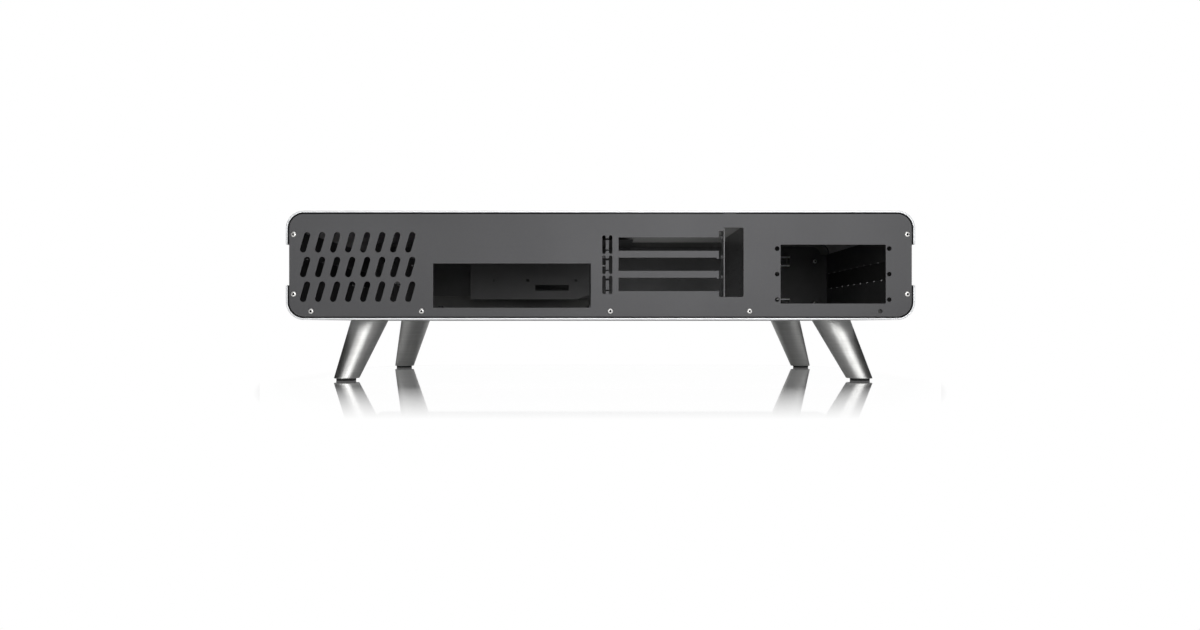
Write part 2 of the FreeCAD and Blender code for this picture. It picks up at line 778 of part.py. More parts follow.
def card_rail():
    """Upright rail that the card brackets are screwed to, with a tab at each end."""
    body = start_body("card_rail")
    plate = add_sketch(body, "plate", "YZ_Plane", "rail_face")
    draw_box(plate, "-panel_back", "rail_low", "-panel_back + rail_depth", "rail_high")
    add_pad(body, plate, "rail_wall")
    tabs = add_sketch(body, "tabs", "XZ_Plane", "panel_back")
    right = "rail_face + rail_tab_width"
    draw_box(tabs, "rail_face", "rail_low", right, "stand_height + recess_low - rail_tab_margin")
    draw_box(tabs, "rail_face", "recess_high + rail_tab_margin", right, "rail_high")
    add_pad(body, tabs, "rail_wall", backwards=True)
    depth = "-panel_back + rail_screw_depth"
    collars = add_sketch(body, "collars", "YZ_Plane", "rail_face")
    bores = add_sketch(body, "bores", "YZ_Plane", "rail_face + rail_wall")
    for x, z in rail_screw_places():
        draw_circle(collars, depth, z, "rail_collar_width")
        draw_circle(bores, depth, z, "rail_bore")
    add_pad(body, collars, "rail_collar_height", backwards=True)
    add_pocket(body, bores, "rail_wall + rail_collar_height")
    return finish(body)


def rail_screw_places():
    low = "stand_height + card_slot_low + card_slot_height / 2 + rail_screw_rise"
    return [("rail_face", low + " + card_pitch * %d" % card)
            for card in range(int(number("card_count")))]


def divider_wall():
    """Wall between the card bay and the power supply bay, on a folded foot."""
    body = start_body("divider_wall")
    sketch = add_sketch(body, "profile", "XZ_Plane", "flange_back - bend_radius")
    draw_outline(sketch, [
        ("divider_face", "floor_top", "bend_radius"),
        ("divider_face + divider_foot_width", "floor_top"),
        ("divider_face + divider_foot_width", "floor_top + divider_wall"),
        ("divider_face + divider_wall", "floor_top + divider_wall", "bend_radius - divider_wall"),
        ("divider_face + divider_wall", "shell_ceiling - seat_gap"),
        ("divider_face", "shell_ceiling - seat_gap"),
    ])
    add_pad(body, sketch, "flange_back - bend_radius + wall_back - divider_front_gap", backwards=True)
    return finish(body)


def drive_cage():
    """Drive cage: a shelf under the cover, fixed to the front wall, with one side folded down."""
    body = start_body("drive_cage")
    sketch = add_sketch(body, "profile", "YZ_Plane", "cage_left")
    draw_outline(sketch, [
        ("cage_rear", "stand_height + cage_low"),
        ("cage_rear + cage_wall", "stand_height + cage_low"),
        ("cage_rear + cage_wall", "cage_top - cage_wall", "bend_radius - cage_wall"),
        ("cage_front - cage_wall", "cage_top - cage_wall", "bend_radius - cage_wall"),
        ("cage_front - cage_wall", "cage_top - cage_flange_height"),
        ("cage_front", "cage_top - cage_flange_height"),
        ("cage_front", "cage_top", "bend_radius"),
        ("cage_rear", "cage_top", "bend_radius"),
    ])
    add_pad(body, sketch, "cage_length")
    ear = add_sketch(body, "ear", "XY_Plane", "cage_top - cage_wall")
    draw_box(ear, "cage_right", "cage_rear + bend_radius", "cage_right + cage_ear_length",
             "cage_front - bend_radius")
    add_pad(body, ear, "cage_wall")
    cage_holes(body, "-cage_rear", corner=True)
    return finish(body)


def drive_cage_inner():
    """Second side of the drive cage, hung under the shelf by its folded edge."""
    body = start_body("drive_cage_inner")
    face = "cage_rear + cage_wall + drive_width + drive_clearance"
    sketch = add_sketch(body, "profile", "YZ_Plane", "cage_left")
    draw_outline(sketch, [
        (face, "stand_height + cage_inner_low"),
        (face + " + cage_wall", "stand_height + cage_inner_low"),
        (face + " + cage_wall", "cage_top - cage_wall", "bend_radius"),
        (face + " - inner_plate_flange", "cage_top - cage_wall"),
        (face + " - inner_plate_flange", "cage_top - 2 * cage_wall"),
        (face, "cage_top - 2 * cage_wall", "bend_radius - cage_wall"),
    ])
    add_pad(body, sketch, "cage_length")
    cage_holes(body, "-(%s)" % face, corner=False)
    return finish(body)


def cage_holes(body, offset, corner):
    """Drive holes, cable slot and cropped corner of one side of the cage."""
    holes = add_sketch(body, "holes", "XZ_Plane", offset)
    first = "cage_left + drive_hole_first"
    for x in (first, first + " + drive_hole_second", first + " + drive_hole_third"):
        draw_circle(holes, x, "stand_height + drive_hole_high", "drive_hole_width")
    draw_box(holes, "cage_left + cable_slot_left", "stand_height + cable_slot_low",
             "cage_left + cable_slot_left + cable_slot_length",
             "stand_height + cable_slot_low + cable_slot_height")
    if corner:
        low = "stand_height + cage_low"
        draw_outline(holes, [("cage_right - cage_corner_cut", low),
                             ("cage_right", low),
                             ("cage_right", low + " + cage_corner_rise")])
    add_pocket(body, holes, "cage_wall")


def hexagon(name, width, height):
    """Hexagonal prism of a given width across its flats."""
    prism = document.addObject("Part::Prism", name)
    prism.Polygon = 6
    bind(prism, Circumradius="(%s) / (2 * cos(30))" % width, Height=height)
    return prism


def cylinder(name, width, height):
    item = document.addObject("Part::Cylinder", name)
    bind(item, Radius="(%s) / 2" % width, Height=height)
    return item


def join(kind, name, *items):
    """Fuse several objects, or cut the second from the first."""
    item = document.addObject(kind, name)
    item.Label = name
    if kind == "Part::Cut":
        item.Base, item.Tool = items
    else:
        item.Shapes = list(items)
    document.recompute()
    return item


def copies(name, template, places, turn=None):
    """Place one link to the template at each place and keep them together as one piece."""
    links = []
    for index, (x, y, z) in enumerate(places):
        link = document.addObject("App::Link", "%s_%d" % (name, index + 1))
        link.LinkedObject = template
        locate(link, x, y, z, turn)
        links.append(link)
    group = document.addObject("Part::Compound", name)
    group.Label = name
    group.Links = links
    document.recompute()
    return finish(group)


def machine_screw(name, length):
    """Screw with a crowned head and a hexagonal socket, its seat at the origin, head up."""
    rim = cylinder(name + "_rim", "screw_head_width", "screw_rim_height")
    crown = document.addObject("Part::Cone", name + "_crown")
    bind(crown, Radius1="screw_head_width / 2", Radius2="screw_crown_width / 2",
         Height="screw_head_height - screw_rim_height")
    locate(crown, "0", "0", "screw_rim_height")
    shank = cylinder(name + "_shank", "screw_shank_width", length)
    locate(shank, "0", "0", "-(%s)" % length)
    body = join("Part::MultiFuse", name + "_solid", rim, crown, shank)
    socket = hexagon(name + "_socket", "screw_socket_width", "screw_socket_depth")
    locate(socket, "0", "0", "screw_head_height - screw_socket_depth")
    return join("Part::Cut", name, body, socket)


def screws():
    """Screws of the rear panel and of the front wall, heads towards the rear."""
    turn = Rotation(Vector(1, 0, 0), 90)
    panel_screw = machine_screw("panel_screw", "panel_screw_length")
    places = [(x, "-panel_face", z) for x, z in side_screw_places() + bottom_screw_places()]
    copies("panel_screws", panel_screw, places, turn)
    wall_screw = machine_screw("wall_screw", "2 * frame_wall - seat_gap")
    copies("front_wall_screws", wall_screw,
           [(x, "wall_back", z) for x, z in wall_screw_places()], turn)


def standoffs():
    """Four threaded hexagonal posts under the board, the rear left one set back."""
    post = hexagon("post", "standoff_width", "standoff_height")
    bore = cylinder("post_bore", "standoff_bore", "standoff_bore_depth")
    locate(bore, "0", "0", "standoff_height - standoff_bore_depth")
    template = join("Part::Cut", "standoff", post, bore)
    left = "board_centre - board_hole_span / 2"
    right = "board_centre + board_hole_span / 2"
    front = "board_row + board_hole_depth"
    places = [(left, "board_row + board_corner_offset"), (right, "board_row"),
              (left, front), (right, front)]
    return copies("standoffs", template, [(x, y, "floor_top") for x, y in places])


def front_clips():
    """Bright spring prongs on the front wall, in pairs, that grip the front panel's studs."""
    prong = document.addObject("Part::Box", "prong")
    bind(prong, Length="clip_length", Width="clip_depth", Height="clip_wall")
    places = []
    for x, z in clip_centres():
        for side in ("-", "+"):
            places.append((x + " - clip_length / 2", "wall_back - clip_depth",
                           "%s %s clip_prong_pitch / 2 - clip_wall / 2" % (z, side)))
    return copies("front_clips", prong, places)


def side_splay(side_x):
    """How far a foot stands out sideways from the top of its leg."""
    return "leg_splay_left" if side_x else "leg_splay_right"


def foot_place(side_x, side_y):
    return (side_x + "(leg_x + %s)" % side_splay(side_x), side_y + "(leg_y + leg_splay_end)")


def leg(name, side_x, side_y):
    """Turned aluminium leg: a tilted cone cut level at both ends, bored for its screw."""
    overrun = "leg_top_radius"
    splay = side_splay(side_x)
    length = "sqrt(leg_rise ^ 2 + %s ^ 2 + leg_splay_end ^ 2)" % splay
    taper = "(leg_top_radius - leg_foot_radius) / " + length
    foot_x, foot_y = foot_place(side_x, side_y)
    sign_x = -1 if side_x else 1
    sign_y = -1 if side_y else 1
    lean = Rotation(Vector(sign_y * number("leg_splay_end"), -sign_x * number(splay), 0),
                    number("acos(leg_rise / %s)" % length))
    cone = document.addObject("Part::Cone", name + "_cone")
    bind(cone, Radius1="leg_foot_radius - %s * %s" % (taper, overrun),
         Radius2="leg_top_radius + %s * %s" % (taper, overrun),
         Height="%s + 2 * %s" % (length, overrun))
    back = "%s / %s" % (overrun, length)
    locate(cone, "%s + %s(%s) * %s" % (foot_x, side_x, splay, back),
           "%s + %s(leg_splay_end) * %s" % (foot_y, side_y, back),
           "pad_height - leg_rise * " + back, lean)
    bind(cone, Placement__Rotation__Angle="acos(leg_rise / %s)" % length)
    slab = document.addObject("Part::Box", name + "_slab")
    block = "2 * (%s + leg_splay_end + 2 * leg_top_radius)" % splay
    bind(slab, Length=block, Width=block, Height="leg_rise")
    locate(slab, "%sleg_x - (%s) / 2" % (side_x, block), "%sleg_y - (%s) / 2" % (side_y, block),
           "pad_height")
    trimmed = join("Part::MultiCommon", name + "_trimmed", cone, slab)
    bore = cylinder(name + "_bore", "leg_bore", "leg_bore_depth")
    locate(bore, side_x + "leg_x", side_y + "leg_y", "stand_height - leg_bore_depth")
    return finish(join("Part::Cut", name, trimmed, bore))


def foot_pad(name, side_x, side_y):
    """Rubber pad under a leg."""
    pad = cylinder(name, "2 * pad_radius", "pad_height")
    pad.Label = name
    locate(pad, *foot_place(side_x, side_y), "0")
    document.recompute()
    return finish(pad)


def leg_screws():
    """Socket screws from inside the case into the four legs."""
    head = cylinder("leg_screw_head", "leg_screw_head_width", "leg_screw_head_height")
    shank = cylinder("leg_screw_shank_rod", "leg_screw_shank", "leg_screw_length")
    locate(shank, "0", "0", "-leg_screw_length")
    body = join("Part::MultiFuse", "leg_screw_solid", head, shank)
    socket = hexagon("leg_screw_socket_hole", "leg_screw_socket", "leg_screw_socket_depth")
    locate(socket, "0", "0", "leg_screw_head_height - leg_screw_socket_depth")
    template = join("Part::Cut", "leg_screw", body, socket)
    places = [(x, y, "floor_top") for x in ("leg_x", "-leg_x") for y in ("leg_y", "-leg_y")]
    return copies("leg_screws", template, places)


def power_switch():
    """Round push switch: barrel with bezel, nut behind the front wall, and moving button."""
    body = start_body("switch_body")
    height = "stand_height + switch_high"
    barrel = add_sketch(body, "barrel", "XZ_Plane", "-panel_face")
    draw_circle(barrel, "switch_x", height, "switch_barrel_width")
    add_pad(body, barrel, "switch_length")
    bezel = add_sketch(body, "bezel", "XZ_Plane", "-bezel_face")
    draw_circle(bezel, "switch_x", height, "switch_bezel_width")
    add_pad(body, bezel, "switch_bezel_height")
    bore = add_sketch(body, "bore", "XZ_Plane", "-bezel_face")
    draw_circle(bore, "switch_x", height, "button_width + button_clearance")
    add_pocket(body, bore, "button_bore_depth", backwards=True)
    finish(body)

    button = start_body("power_button")
    face = add_sketch(button, "face", "XZ_Plane", "-(bezel_face - button_recess)")
    draw_circle(face, "switch_x", height, "button_width")
    add_pad(button, face, "button_length")
    finish(button)

    nut = start_body("switch_nut")
    flats = add_sketch(nut, "outline", "XZ_Plane", "-wall_back")
    draw_circle(flats, "switch_x", height, "switch_nut_width")
    draw_circle(flats, "switch_x", height, "switch_barrel_width + switch_clearance")
    add_pad(nut, flats, "switch_nut_height")
    finish(nut)


def build():
    bottom_shell()
    top_cover()
    rear_panel()
    front_panel()
    chassis_floor()
    side_panel("side_panel_right", "")
    side_panel("side_panel_left", "-")
    side_filter("side_filter_right", "")
    side_filter("side_filter_left", "-")
    front_wall()
    front_clips()
    card_rail()
    divider_wall()
    drive_cage()
    drive_cage_inner()
    standoffs()
    screws()
    for end, side_y in (("front", ""), ("rear", "-")):
        for hand, side_x in (("right", ""), ("left", "-")):
            leg("leg_%s_%s" % (end, hand), side_x, side_y)
            foot_pad("foot_pad_%s_%s" % (end, hand), side_x, side_y)
    leg_screws()
    power_switch()


def write_parts():
    """Check every object and shape, then write each finished piece to its own file."""
    document.recompute()
    for item in document.Objects:
        if "Invalid" in item.State or "Error" in item.State:
            raise RuntimeError("%s failed: %s" % (item.Label, item.State))
    for item in finished:
        if item.Shape.isNull() or not item.Shape.isValid():
            raise RuntimeError("%s has no valid shape" % item.Label)
    os.makedirs("parts", exist_ok=True)
    for item in finished:
        item.Shape.exportStep("parts/%s.step" % item.Label)
        print("%-20s %2d solids %10.1f mm3" % (item.Label, len(item.Shape.Solids), item.Shape.Volume))


build()
write_parts()
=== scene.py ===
import math
import bmesh
import bpy
import numpy as np
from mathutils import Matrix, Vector


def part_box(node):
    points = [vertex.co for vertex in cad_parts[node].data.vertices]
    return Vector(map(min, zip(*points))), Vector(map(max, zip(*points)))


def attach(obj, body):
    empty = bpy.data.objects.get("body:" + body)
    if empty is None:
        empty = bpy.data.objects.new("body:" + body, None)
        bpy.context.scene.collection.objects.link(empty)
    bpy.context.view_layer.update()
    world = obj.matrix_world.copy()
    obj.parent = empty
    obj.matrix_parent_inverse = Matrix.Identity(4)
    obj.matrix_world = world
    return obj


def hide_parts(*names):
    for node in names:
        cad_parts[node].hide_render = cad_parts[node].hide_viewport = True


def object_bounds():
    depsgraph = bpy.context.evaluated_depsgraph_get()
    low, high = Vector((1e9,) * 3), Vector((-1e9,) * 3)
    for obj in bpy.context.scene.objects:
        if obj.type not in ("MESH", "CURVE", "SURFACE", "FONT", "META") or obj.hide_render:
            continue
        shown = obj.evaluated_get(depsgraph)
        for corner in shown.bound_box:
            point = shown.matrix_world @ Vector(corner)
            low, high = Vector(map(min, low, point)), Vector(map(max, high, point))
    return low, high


# Low, wide media computer case on four splayed legs, seen from the rear.
# Lengths are in millimetres until a mesh, lamp or camera is placed. +Z is up, and the rear faces -Y.

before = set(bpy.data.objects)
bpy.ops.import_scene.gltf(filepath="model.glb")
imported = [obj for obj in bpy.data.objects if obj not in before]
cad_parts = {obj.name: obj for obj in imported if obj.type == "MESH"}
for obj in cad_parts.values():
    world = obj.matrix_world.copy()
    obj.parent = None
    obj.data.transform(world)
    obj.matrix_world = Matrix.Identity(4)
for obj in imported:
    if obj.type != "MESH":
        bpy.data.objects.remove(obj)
cad_low, cad_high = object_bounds()

MM = 0.001
CASE_MIDDLE = np.array((0, 0, 118))

CAMERA_PLACE = (0, -1035.4, 59.3)
CAMERA_LENS = 25.92
CAMERA_SHIFT = (-0.0004, 0.0071)

SHELL_WALL = 2
SHELL_CORNER_RADIUS = 18
SHELL_EDGE = 0.35
# Width of the black band inside both open ends of the skins, painted shade for the shadow gap round
# the panels
SHELL_SHADE_BAND = 10
PANEL_EDGE = 0.2
SHEET_EDGE = 0.2

LEG_TOP_RADIUS = 18.1
LEG_FOOT_RADIUS = 12
LEG_EDGE = 0.5
PAD_EDGE = 0.4

SCREW_HEAD_WIDTH = 5.5
SCREW_HEAD_HEIGHT = 1.5
SCREW_SHANK_WIDTH = 2.9
SCREW_SOCKET_WIDTH = 2.3
SCREW_SOCKET_DEPTH = 1.6
SCREW_THREAD_PITCH = 0.5

LEG_SCREW_HEAD_WIDTH = 10.5
LEG_SCREW_HEAD_HEIGHT = 3.3
LEG_SCREW_SHANK_WIDTH = 5.8
LEG_SCREW_SOCKET_WIDTH = 4
LEG_SCREW_SOCKET_DEPTH = 2.4
LEG_SCREW_THREAD_PITCH = 1

POST_WIDTH = 5.5
POST_BORE_WIDTH = 2.8
POST_BORE_DEPTH = 8

SWITCH_BARREL_WIDTH = 12
SWITCH_BEZEL_HEIGHT = 1.5
SWITCH_BORE_WIDTH = 9.6
SWITCH_BORE_DEPTH = 7.1
SWITCH_THREAD_PITCH = 1
BUTTON_EDGE = 0.4
BUTTON_DISH = 0.25
NUT_BORE_WIDTH = 12.2

TURN_STEPS = 72

# Sizes of the patterns in the finishes
CLOUD_SIZE = 60
STROKE_WIDTH = 0.5
DIMPLE_SIZE = 1.4
DIMPLE_DEPTH = 0.03
TINT_SIZE = 35
STAIN_SIZE = 12
RING_DEPTH = 0.004
MARK_SIZE = 0.6
MARK_DEPTH = 0.003
PEBBLE_SIZE = 0.5
PEBBLE_DEPTH = 0.03
THREAD_SPACING = 0.8
THREAD_DEPTH = 0.1

# The floor mirrors fully in a field round the case and no more at a distance from that field. The
# field narrows towards the rear, and the mirror fades faster to the sides and to the front.
MIRROR_HALF_WIDTH = 280
MIRROR_HALF_DEPTH = 135
MIRROR_NARROWING = 0.3
MIRROR_SIDE_FALL = 5
MIRROR_FRONT_FALL = 3
MIRROR_FULL = 90
MIRROR_END = 365
MIRROR_STRENGTH = 0.92
SHADOW_SHARE = 0.15
SHADOW_END = 350

WORLD_LEVEL = 0.35

# Name, then start, end and lower edge of each black card, in metres
CARDS = (("card_left", (-1, -1.4), (-1, 1.5), 0.001),
         ("card_right", (1, -1.4), (1, 1.5), 0.001),
         ("card_rear", (-2.2, -2.6), (2.2, -2.6), 0.8))
CARD_TOP = 2.2

# Name, place, target, width and height in metres and power in watts of each lamp. The key and the
# fill light the rear and draw the legs' highlights, the top lamp lights the cover. The lens lamp
# is a weak one just over the camera that reaches into the openings. The inside lamp is weaker
# still and lifts the cover's underside, which shows in the top card slot.
LAMPS = (("key", (0.6, -2.0, 0.5), (0, 0, 0.1), 1.6, 0.9, 18),
         ("fill", (-0.85, -1.9, 0.35), (0, 0, 0.1), 0.7, 0.6, 6),
         ("lens", (0, -1.1, 0.16), (0, 0, 0.1), 0.12, 0.12, 0.3),
         ("inside", (0.07, 0.03, 0.08), (0.07, 0.031, 0.2), 0.16, 0.24, 0.03),
         ("top", (0, 0.2, 1.6), (0, 0, 0), 2.2, 1.6, 12))


# Meshes

def node_box(node):
    """Low and high corner of a CAD node, in millimetres."""
    low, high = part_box(node)
    return np.array(low) / MM, np.array(high) / MM


def merged_copy(node):
    """The mesh of a CAD node with its loose triangles joined."""
    mesh = bmesh.new()
    mesh.from_mesh(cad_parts[node].data)
    bmesh.ops.remove_doubles(mesh, verts=mesh.verts, dist=1e-6)
    return mesh


def whole_faces(mesh):
    """Join the triangles of each flat face."""
    bmesh.ops.dissolve_limit(mesh, angle_limit=math.radians(0.2), verts=mesh.verts,
                             edges=mesh.edges)
    return mesh


def solid_boxes(node):
    """Low and high corner of each separate solid of a CAD node, in millimetres."""
    mesh = merged_copy(node)
    boxes = []
    waiting = set(mesh.verts)
    while waiting:
        front = [waiting.pop()]
        solid = []
        while front:
            corner = front.pop()
            solid.append(corner.co)
            reached = {edge.other_vert(corner) for edge in corner.link_edges} & waiting
            waiting -= reached
            front.extend(reached)
        places = np.array(solid) / MM
        boxes.append((places.min(axis=0), places.max(axis=0)))
    mesh.free()
    return sorted(boxes, key=lambda box: tuple(np.round(box[0], 3)))


def place_piece(mesh, name, body, nodes, material, smooth_limit=40):
    """Put a finished mesh in the scene: it rides its body and stands for its CAD nodes."""
    data = bpy.data.meshes.new(name)
    mesh.to_mesh(data)
    mesh.free()
    data.shade_smooth()
    data.set_sharp_from_angle(angle=math.radians(smooth_limit))
    data.materials.append(material)
    piece = bpy.data.objects.new(name, data)
    bpy.context.scene.collection.objects.link(piece)
    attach(piece, body)
    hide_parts(*nodes)
    return piece


def surface_mesh(points, faces):
    """A closed mesh from points in millimetres, its faces turned outwards."""
    data = bpy.data.meshes.new("surface")
    data.from_pydata((np.asarray(points) * MM).tolist(), [],
                     np.asarray(faces, dtype=object).tolist())
    mesh = bmesh.new()
    mesh.from_mesh(data)
    bpy.data.meshes.remove(data)
    bmesh.ops.recalc_face_normals(mesh, faces=mesh.faces)
    return mesh


def ring_faces(rows, columns):
    """Quads between neighbouring rows of a closed grid, and a fan of triangles at each end.

    The two fans meet at the last two points, which follow the grid's own."""
    index = np.arange(rows * columns).reshape(rows, columns)
    after = np.roll(index, -1, axis=1)
    quads = np.stack([index[:-1], after[:-1], after[1:], index[1:]], axis=-1).reshape(-1, 4)
    first_pole = np.full(columns, rows * columns)
    first = np.stack([first_pole, after[0], index[0]], axis=-1)
    last = np.stack([first_pole + 1, index[-1], after[-1]], axis=-1)
    return quads.tolist() + first.tolist() + last.tolist()


def capped_rings(rings):
    """Points and faces of a closed surface through rings of points, with a pole at each end."""
    rings = np.asarray(rings, dtype=float)
    poles = rings[[0, -1]].mean(axis=1)
    points = np.concatenate([rings.reshape(-1, 3), poles])
    return points, ring_faces(*rings.shape[:2])


def repeated(points, faces, places):
    """The same surface at every place, as one set of points and faces."""
    count = len(points)
    all_points = np.concatenate([points + np.asarray(place) for place in places])
    all_faces = [[corner + copy * count for corner in face]
                 for copy in range(len(places)) for face in faces]
    return all_points, all_faces


def turning_angles():
    return np.arange(TURN_STEPS) * 2 * np.pi / TURN_STEPS


def hexagon_radius(width):
    """Distance to the side of a hexagon: half its width over the cosine of the angle to the side."""
    side = np.pi / 3
    return width / 2 / np.cos((turning_angles() % side) - side / 2)


def turned_rings(profile):
    """Rings (r cos u, r sin u, z) of a turned form. A radius may be one number or one for each
    u."""
    u = turning_angles()
    rings = []
    for radius, height in profile:
        r = np.broadcast_to(radius, u.shape)
        z = np.broadcast_to(height, u.shape)
        rings.append(np.stack([r * np.cos(u), r * np.sin(u), z], axis=-1))
    return np.array(rings)


def lathe(profile):
    """A turned form with a pole at each end."""
    return capped_rings(turned_rings(profile))


def thread_rows(width, pitch, low, high):
    """Rows of a screw thread: the radius falls by a triangle wave of height minus turn, half the
    pitch deep, and fades to the full width at both ends."""
    depth = 0.5 * pitch
    turn = turning_angles() / (2 * np.pi)
    rows = []
    for height in np.arange(low, high + pitch / 16, pitch / 8):
        wave = np.abs(((height / pitch - turn) % 1) - 0.5) * 2
        fade = np.clip(min(height - low, high - height) / pitch, 0, 1)
        rows.append((width / 2 - depth * wave * fade, height))
    return rows


def quarter_round(radius, height, edge, steps=4):
    """Rows of an outer edge of a lathe profile: a quarter circle from the side to the top."""
    angles = np.linspace(0, np.pi / 2, steps)
    return [(radius - edge + edge * math.cos(a), height - edge + edge * math.sin(a))
            for a in angles]


def filleted_path(corners, radius, steps=14):
    """Points and outward normals of a flat path whose right-angled corners are quarter circles."""
    corners = [np.array(corner, dtype=float) for corner in corners]
    points = []
    normals = []

    def add_point(point, direction):
        points.append(point)
        normals.append((direction[1], -direction[0]))

    for i, corner in enumerate(corners):
        way_in = corner - corners[i - 1] if i else corners[1] - corner
        way_out = corners[i + 1] - corner if i + 1 < len(corners) else way_in
        way_in = way_in / np.linalg.norm(way_in)
        way_out = way_out / np.linalg.norm(way_out)
        if np.allclose(way_in, way_out):
            add_point(corner, way_in)
            continue
        middle = corner + radius * (way_out - way_in)
        for turn in np.linspace(0, np.pi / 2, steps):
            direction = way_in * math.cos(turn) + way_out * math.sin(turn)
            reach = way_in * math.sin(turn) - way_out * math.cos(turn)
            add_point(middle + radius * reach, direction)
    return np.array(points), np.array(normals)


def bent_slab(points, normals, wall, edge, lip, low_y, high_y):
    """A slab bent along a path in X and Z and long in Y, with all its edges rounded and a row of
    faces at both ends that is as long in Y as the lip.

    Each ring is the path moved out and in by half the wall, its ends closed by small round
    corners. Near both ends in Y the ring shrinks by edge * (1 - sin a) and moves by
    edge * (1 - cos a), for a from 0 to a right angle."""
    along = np.stack([-normals[:, 1], normals[:, 0]], axis=-1)
    corner_steps = np.linspace(0, np.pi / 2, 5)

    def ring(inset, y):
        half = wall / 2 - inset
        corner = 1.25 * edge - inset
        start = points[0] + along[0] * inset
        end = points[-1] - along[-1] * inset
        outline = [points[1:-1] + normals[1:-1] * half]
        outer_end = [end - along[-1] * corner * (1 - math.sin(a))
                     + normals[-1] * (half - corner * (1 - math.cos(a))) for a in corner_steps]
        inner_end = [end - along[-1] * corner * (1 - math.cos(a))
                     - normals[-1] * (half - corner * (1 - math.sin(a))) for a in corner_steps]
        inner_start = [start + along[0] * corner * (1 - math.sin(a))
                       - normals[0] * (half - corner * (1 - math.cos(a))) for a in corner_steps]
        outer_start = [start + along[0] * corner * (1 - math.cos(a))
                       + normals[0] * (half - corner * (1 - math.sin(a))) for a in corner_steps]
        outline += [np.array(outer_end), np.array(inner_end)]
        outline += [(points[1:-1] - normals[1:-1] * half)[::-1]]
        outline += [np.array(inner_start), np.array(outer_start)]
        flat = np.concatenate(outline)
        return np.stack([flat[:, 0], np.full(len(flat), y), flat[:, 1]], axis=-1)

    angles = np.linspace(0, np.pi / 2, 4)
    rings = [ring(edge * (1 - math.sin(a)), low_y + edge * (1 - math.cos(a))) for a in angles]
    rings += [ring(0, low_y + lip), ring(0, high_y - lip)]
    rings += [ring(edge * (1 - math.sin(a)), high_y - edge * (1 - math.cos(a)))
              for a in angles[::-1]]
    rings = np.array(rings)
    rows, columns = rings.shape[:2]
    index = np.arange(rows * columns).reshape(rows, columns)
    after = np.roll(index, -1, axis=1)
    faces = np.stack([index[:-1], after[:-1], after[1:], index[1:]], axis=-1)
    faces = faces.reshape(-1, 4).tolist()
    run = len(points) - 2
    corner_count = 2 * len(corner_steps)
    for row in (0, rows - 1):
        first = row * columns
        outer = first + np.arange(run)
        inner = first + run + corner_count + run - 1 - np.arange(run)
        faces += np.stack([outer[:-1], outer[1:], inner[1:], inner[:-1]], axis=-1).tolist()
        end = first + run + np.arange(corner_count)
        faces.append([int(outer[-1])] + end.tolist() + [int(inner[-1])])
        start = first + 2 * run + corner_count + np.arange(corner_count)
        faces.append([int(inner[0])] + start.tolist() + [int(outer[0])])
    return surface_mesh(rings.reshape(-1, 3), faces)


def leg_surface(foot, top):
    """A turned leg cut level at both ends.

    The cone's straight lines start at its point A and run along w + k (e1 cos u + e2 sin u), where
    w is the axis and k the taper. Each ring is where they meet a level plane. The foot's edge
    shrinks by edge * (1 - sin a) as it rises by edge * (1 - cos a)."""
    axis = top - foot
    length = np.linalg.norm(axis)
    axis = axis / length
    taper = (LEG_TOP_RADIUS - LEG_FOOT_RADIUS) / length
    point = foot - axis * LEG_FOOT_RADIUS / taper
    side = np.cross(axis, (0, 0, 1))
    side = side / np.linalg.norm(side)
    other = np.cross(axis, side)
    u = turning_angles()[:, None]
    lines = axis + taper * (side * np.cos(u) + other * np.sin(u))

    def ring(height, inset=0):
        places = point + lines * (height - point[2]) / lines[:, 2:]
        middle = places.mean(axis=0)
        spokes = places - middle
        return middle + spokes * (1 - inset / np.linalg.norm(spokes, axis=1, keepdims=True))

    angles = np.linspace(0, np.pi / 2, 5)
    rings = [ring(foot[2], inset=LEG_FOOT_RADIUS / 2)]
    rings += [ring(foot[2] + LEG_EDGE * (1 - math.cos(a)), LEG_EDGE * (1 - math.sin(a)))
              for a in angles]
    rings += [ring(height) for height in np.linspace(foot[2] + 2, top[2], 24)]
    rings.append(ring(top[2], inset=LEG_TOP_RADIUS / 2))
    return capped_rings(rings)


def screw_surface(head, height, shank, length, socket, socket_depth, pitch, crown):
    """A socket screw with its seat at z = 0, head up: thread, rim, crowned top and hexagonal socket.

    Crown is the share of the head's height that the dome takes, an ellipse in section."""
    hexagon = hexagon_radius(socket)
    rows = [(shank / 2 - 0.8 * pitch, -length), (shank / 2 - 0.3 * pitch, -length + 0.5 * pitch)]
    rows += thread_rows(shank, pitch, -length + 0.5 * pitch, 0)
    rows += [(head / 2, 0)]
    rim = height * (1 - crown)
    dome = np.linspace(0, math.radians(62), 9)
    low_radius = socket * 0.68
    for a in dome:
        share = math.sin(a) / math.sin(dome[-1])
        fall = (1 - math.cos(a)) / (1 - math.cos(dome[-1]))
        rows.append((head / 2 - (head / 2 - low_radius) * fall, rim + (height - rim) * share))
    rows.append((hexagon + 0.06 * socket, height))
    rows.append((hexagon, height - 0.05 * socket))
    rows.append((hexagon, height - socket_depth))
    rows.append((hexagon * 0.3, height - socket_depth - 0.4 * socket))
    return lathe(rows)


def heads_to_rear(points):
    """Turn a form that points up so that it points to the rear: (x, y, z) becomes (x, -z, y)."""
    return points[:, [0, 2, 1]] * (1, -1, 1)


def heads_to_front(points):
    """Turn a form that points up so that it points to the front: (x, y, z) becomes (x, z, -y)."""
    return points[:, [0, 2, 1]] * (1, 1, -1)


# Materials

def linear(code):
    """An sRGB hex code as linear red, green, blue and full alpha."""
    shades = np.array([int(code[i:i + 2], 16) for i in (1, 3, 5)]) / 255
    low = shades / 12.92
    high = ((shades + 0.055) / 1.055) ** 2.4
    return (*np.where(shades <= 0.04045, low, high), 1)


def per_mm(size):
    """The scale at which a texture's cells are the given number of millimetres wide."""
    return 1 / (size * MM)


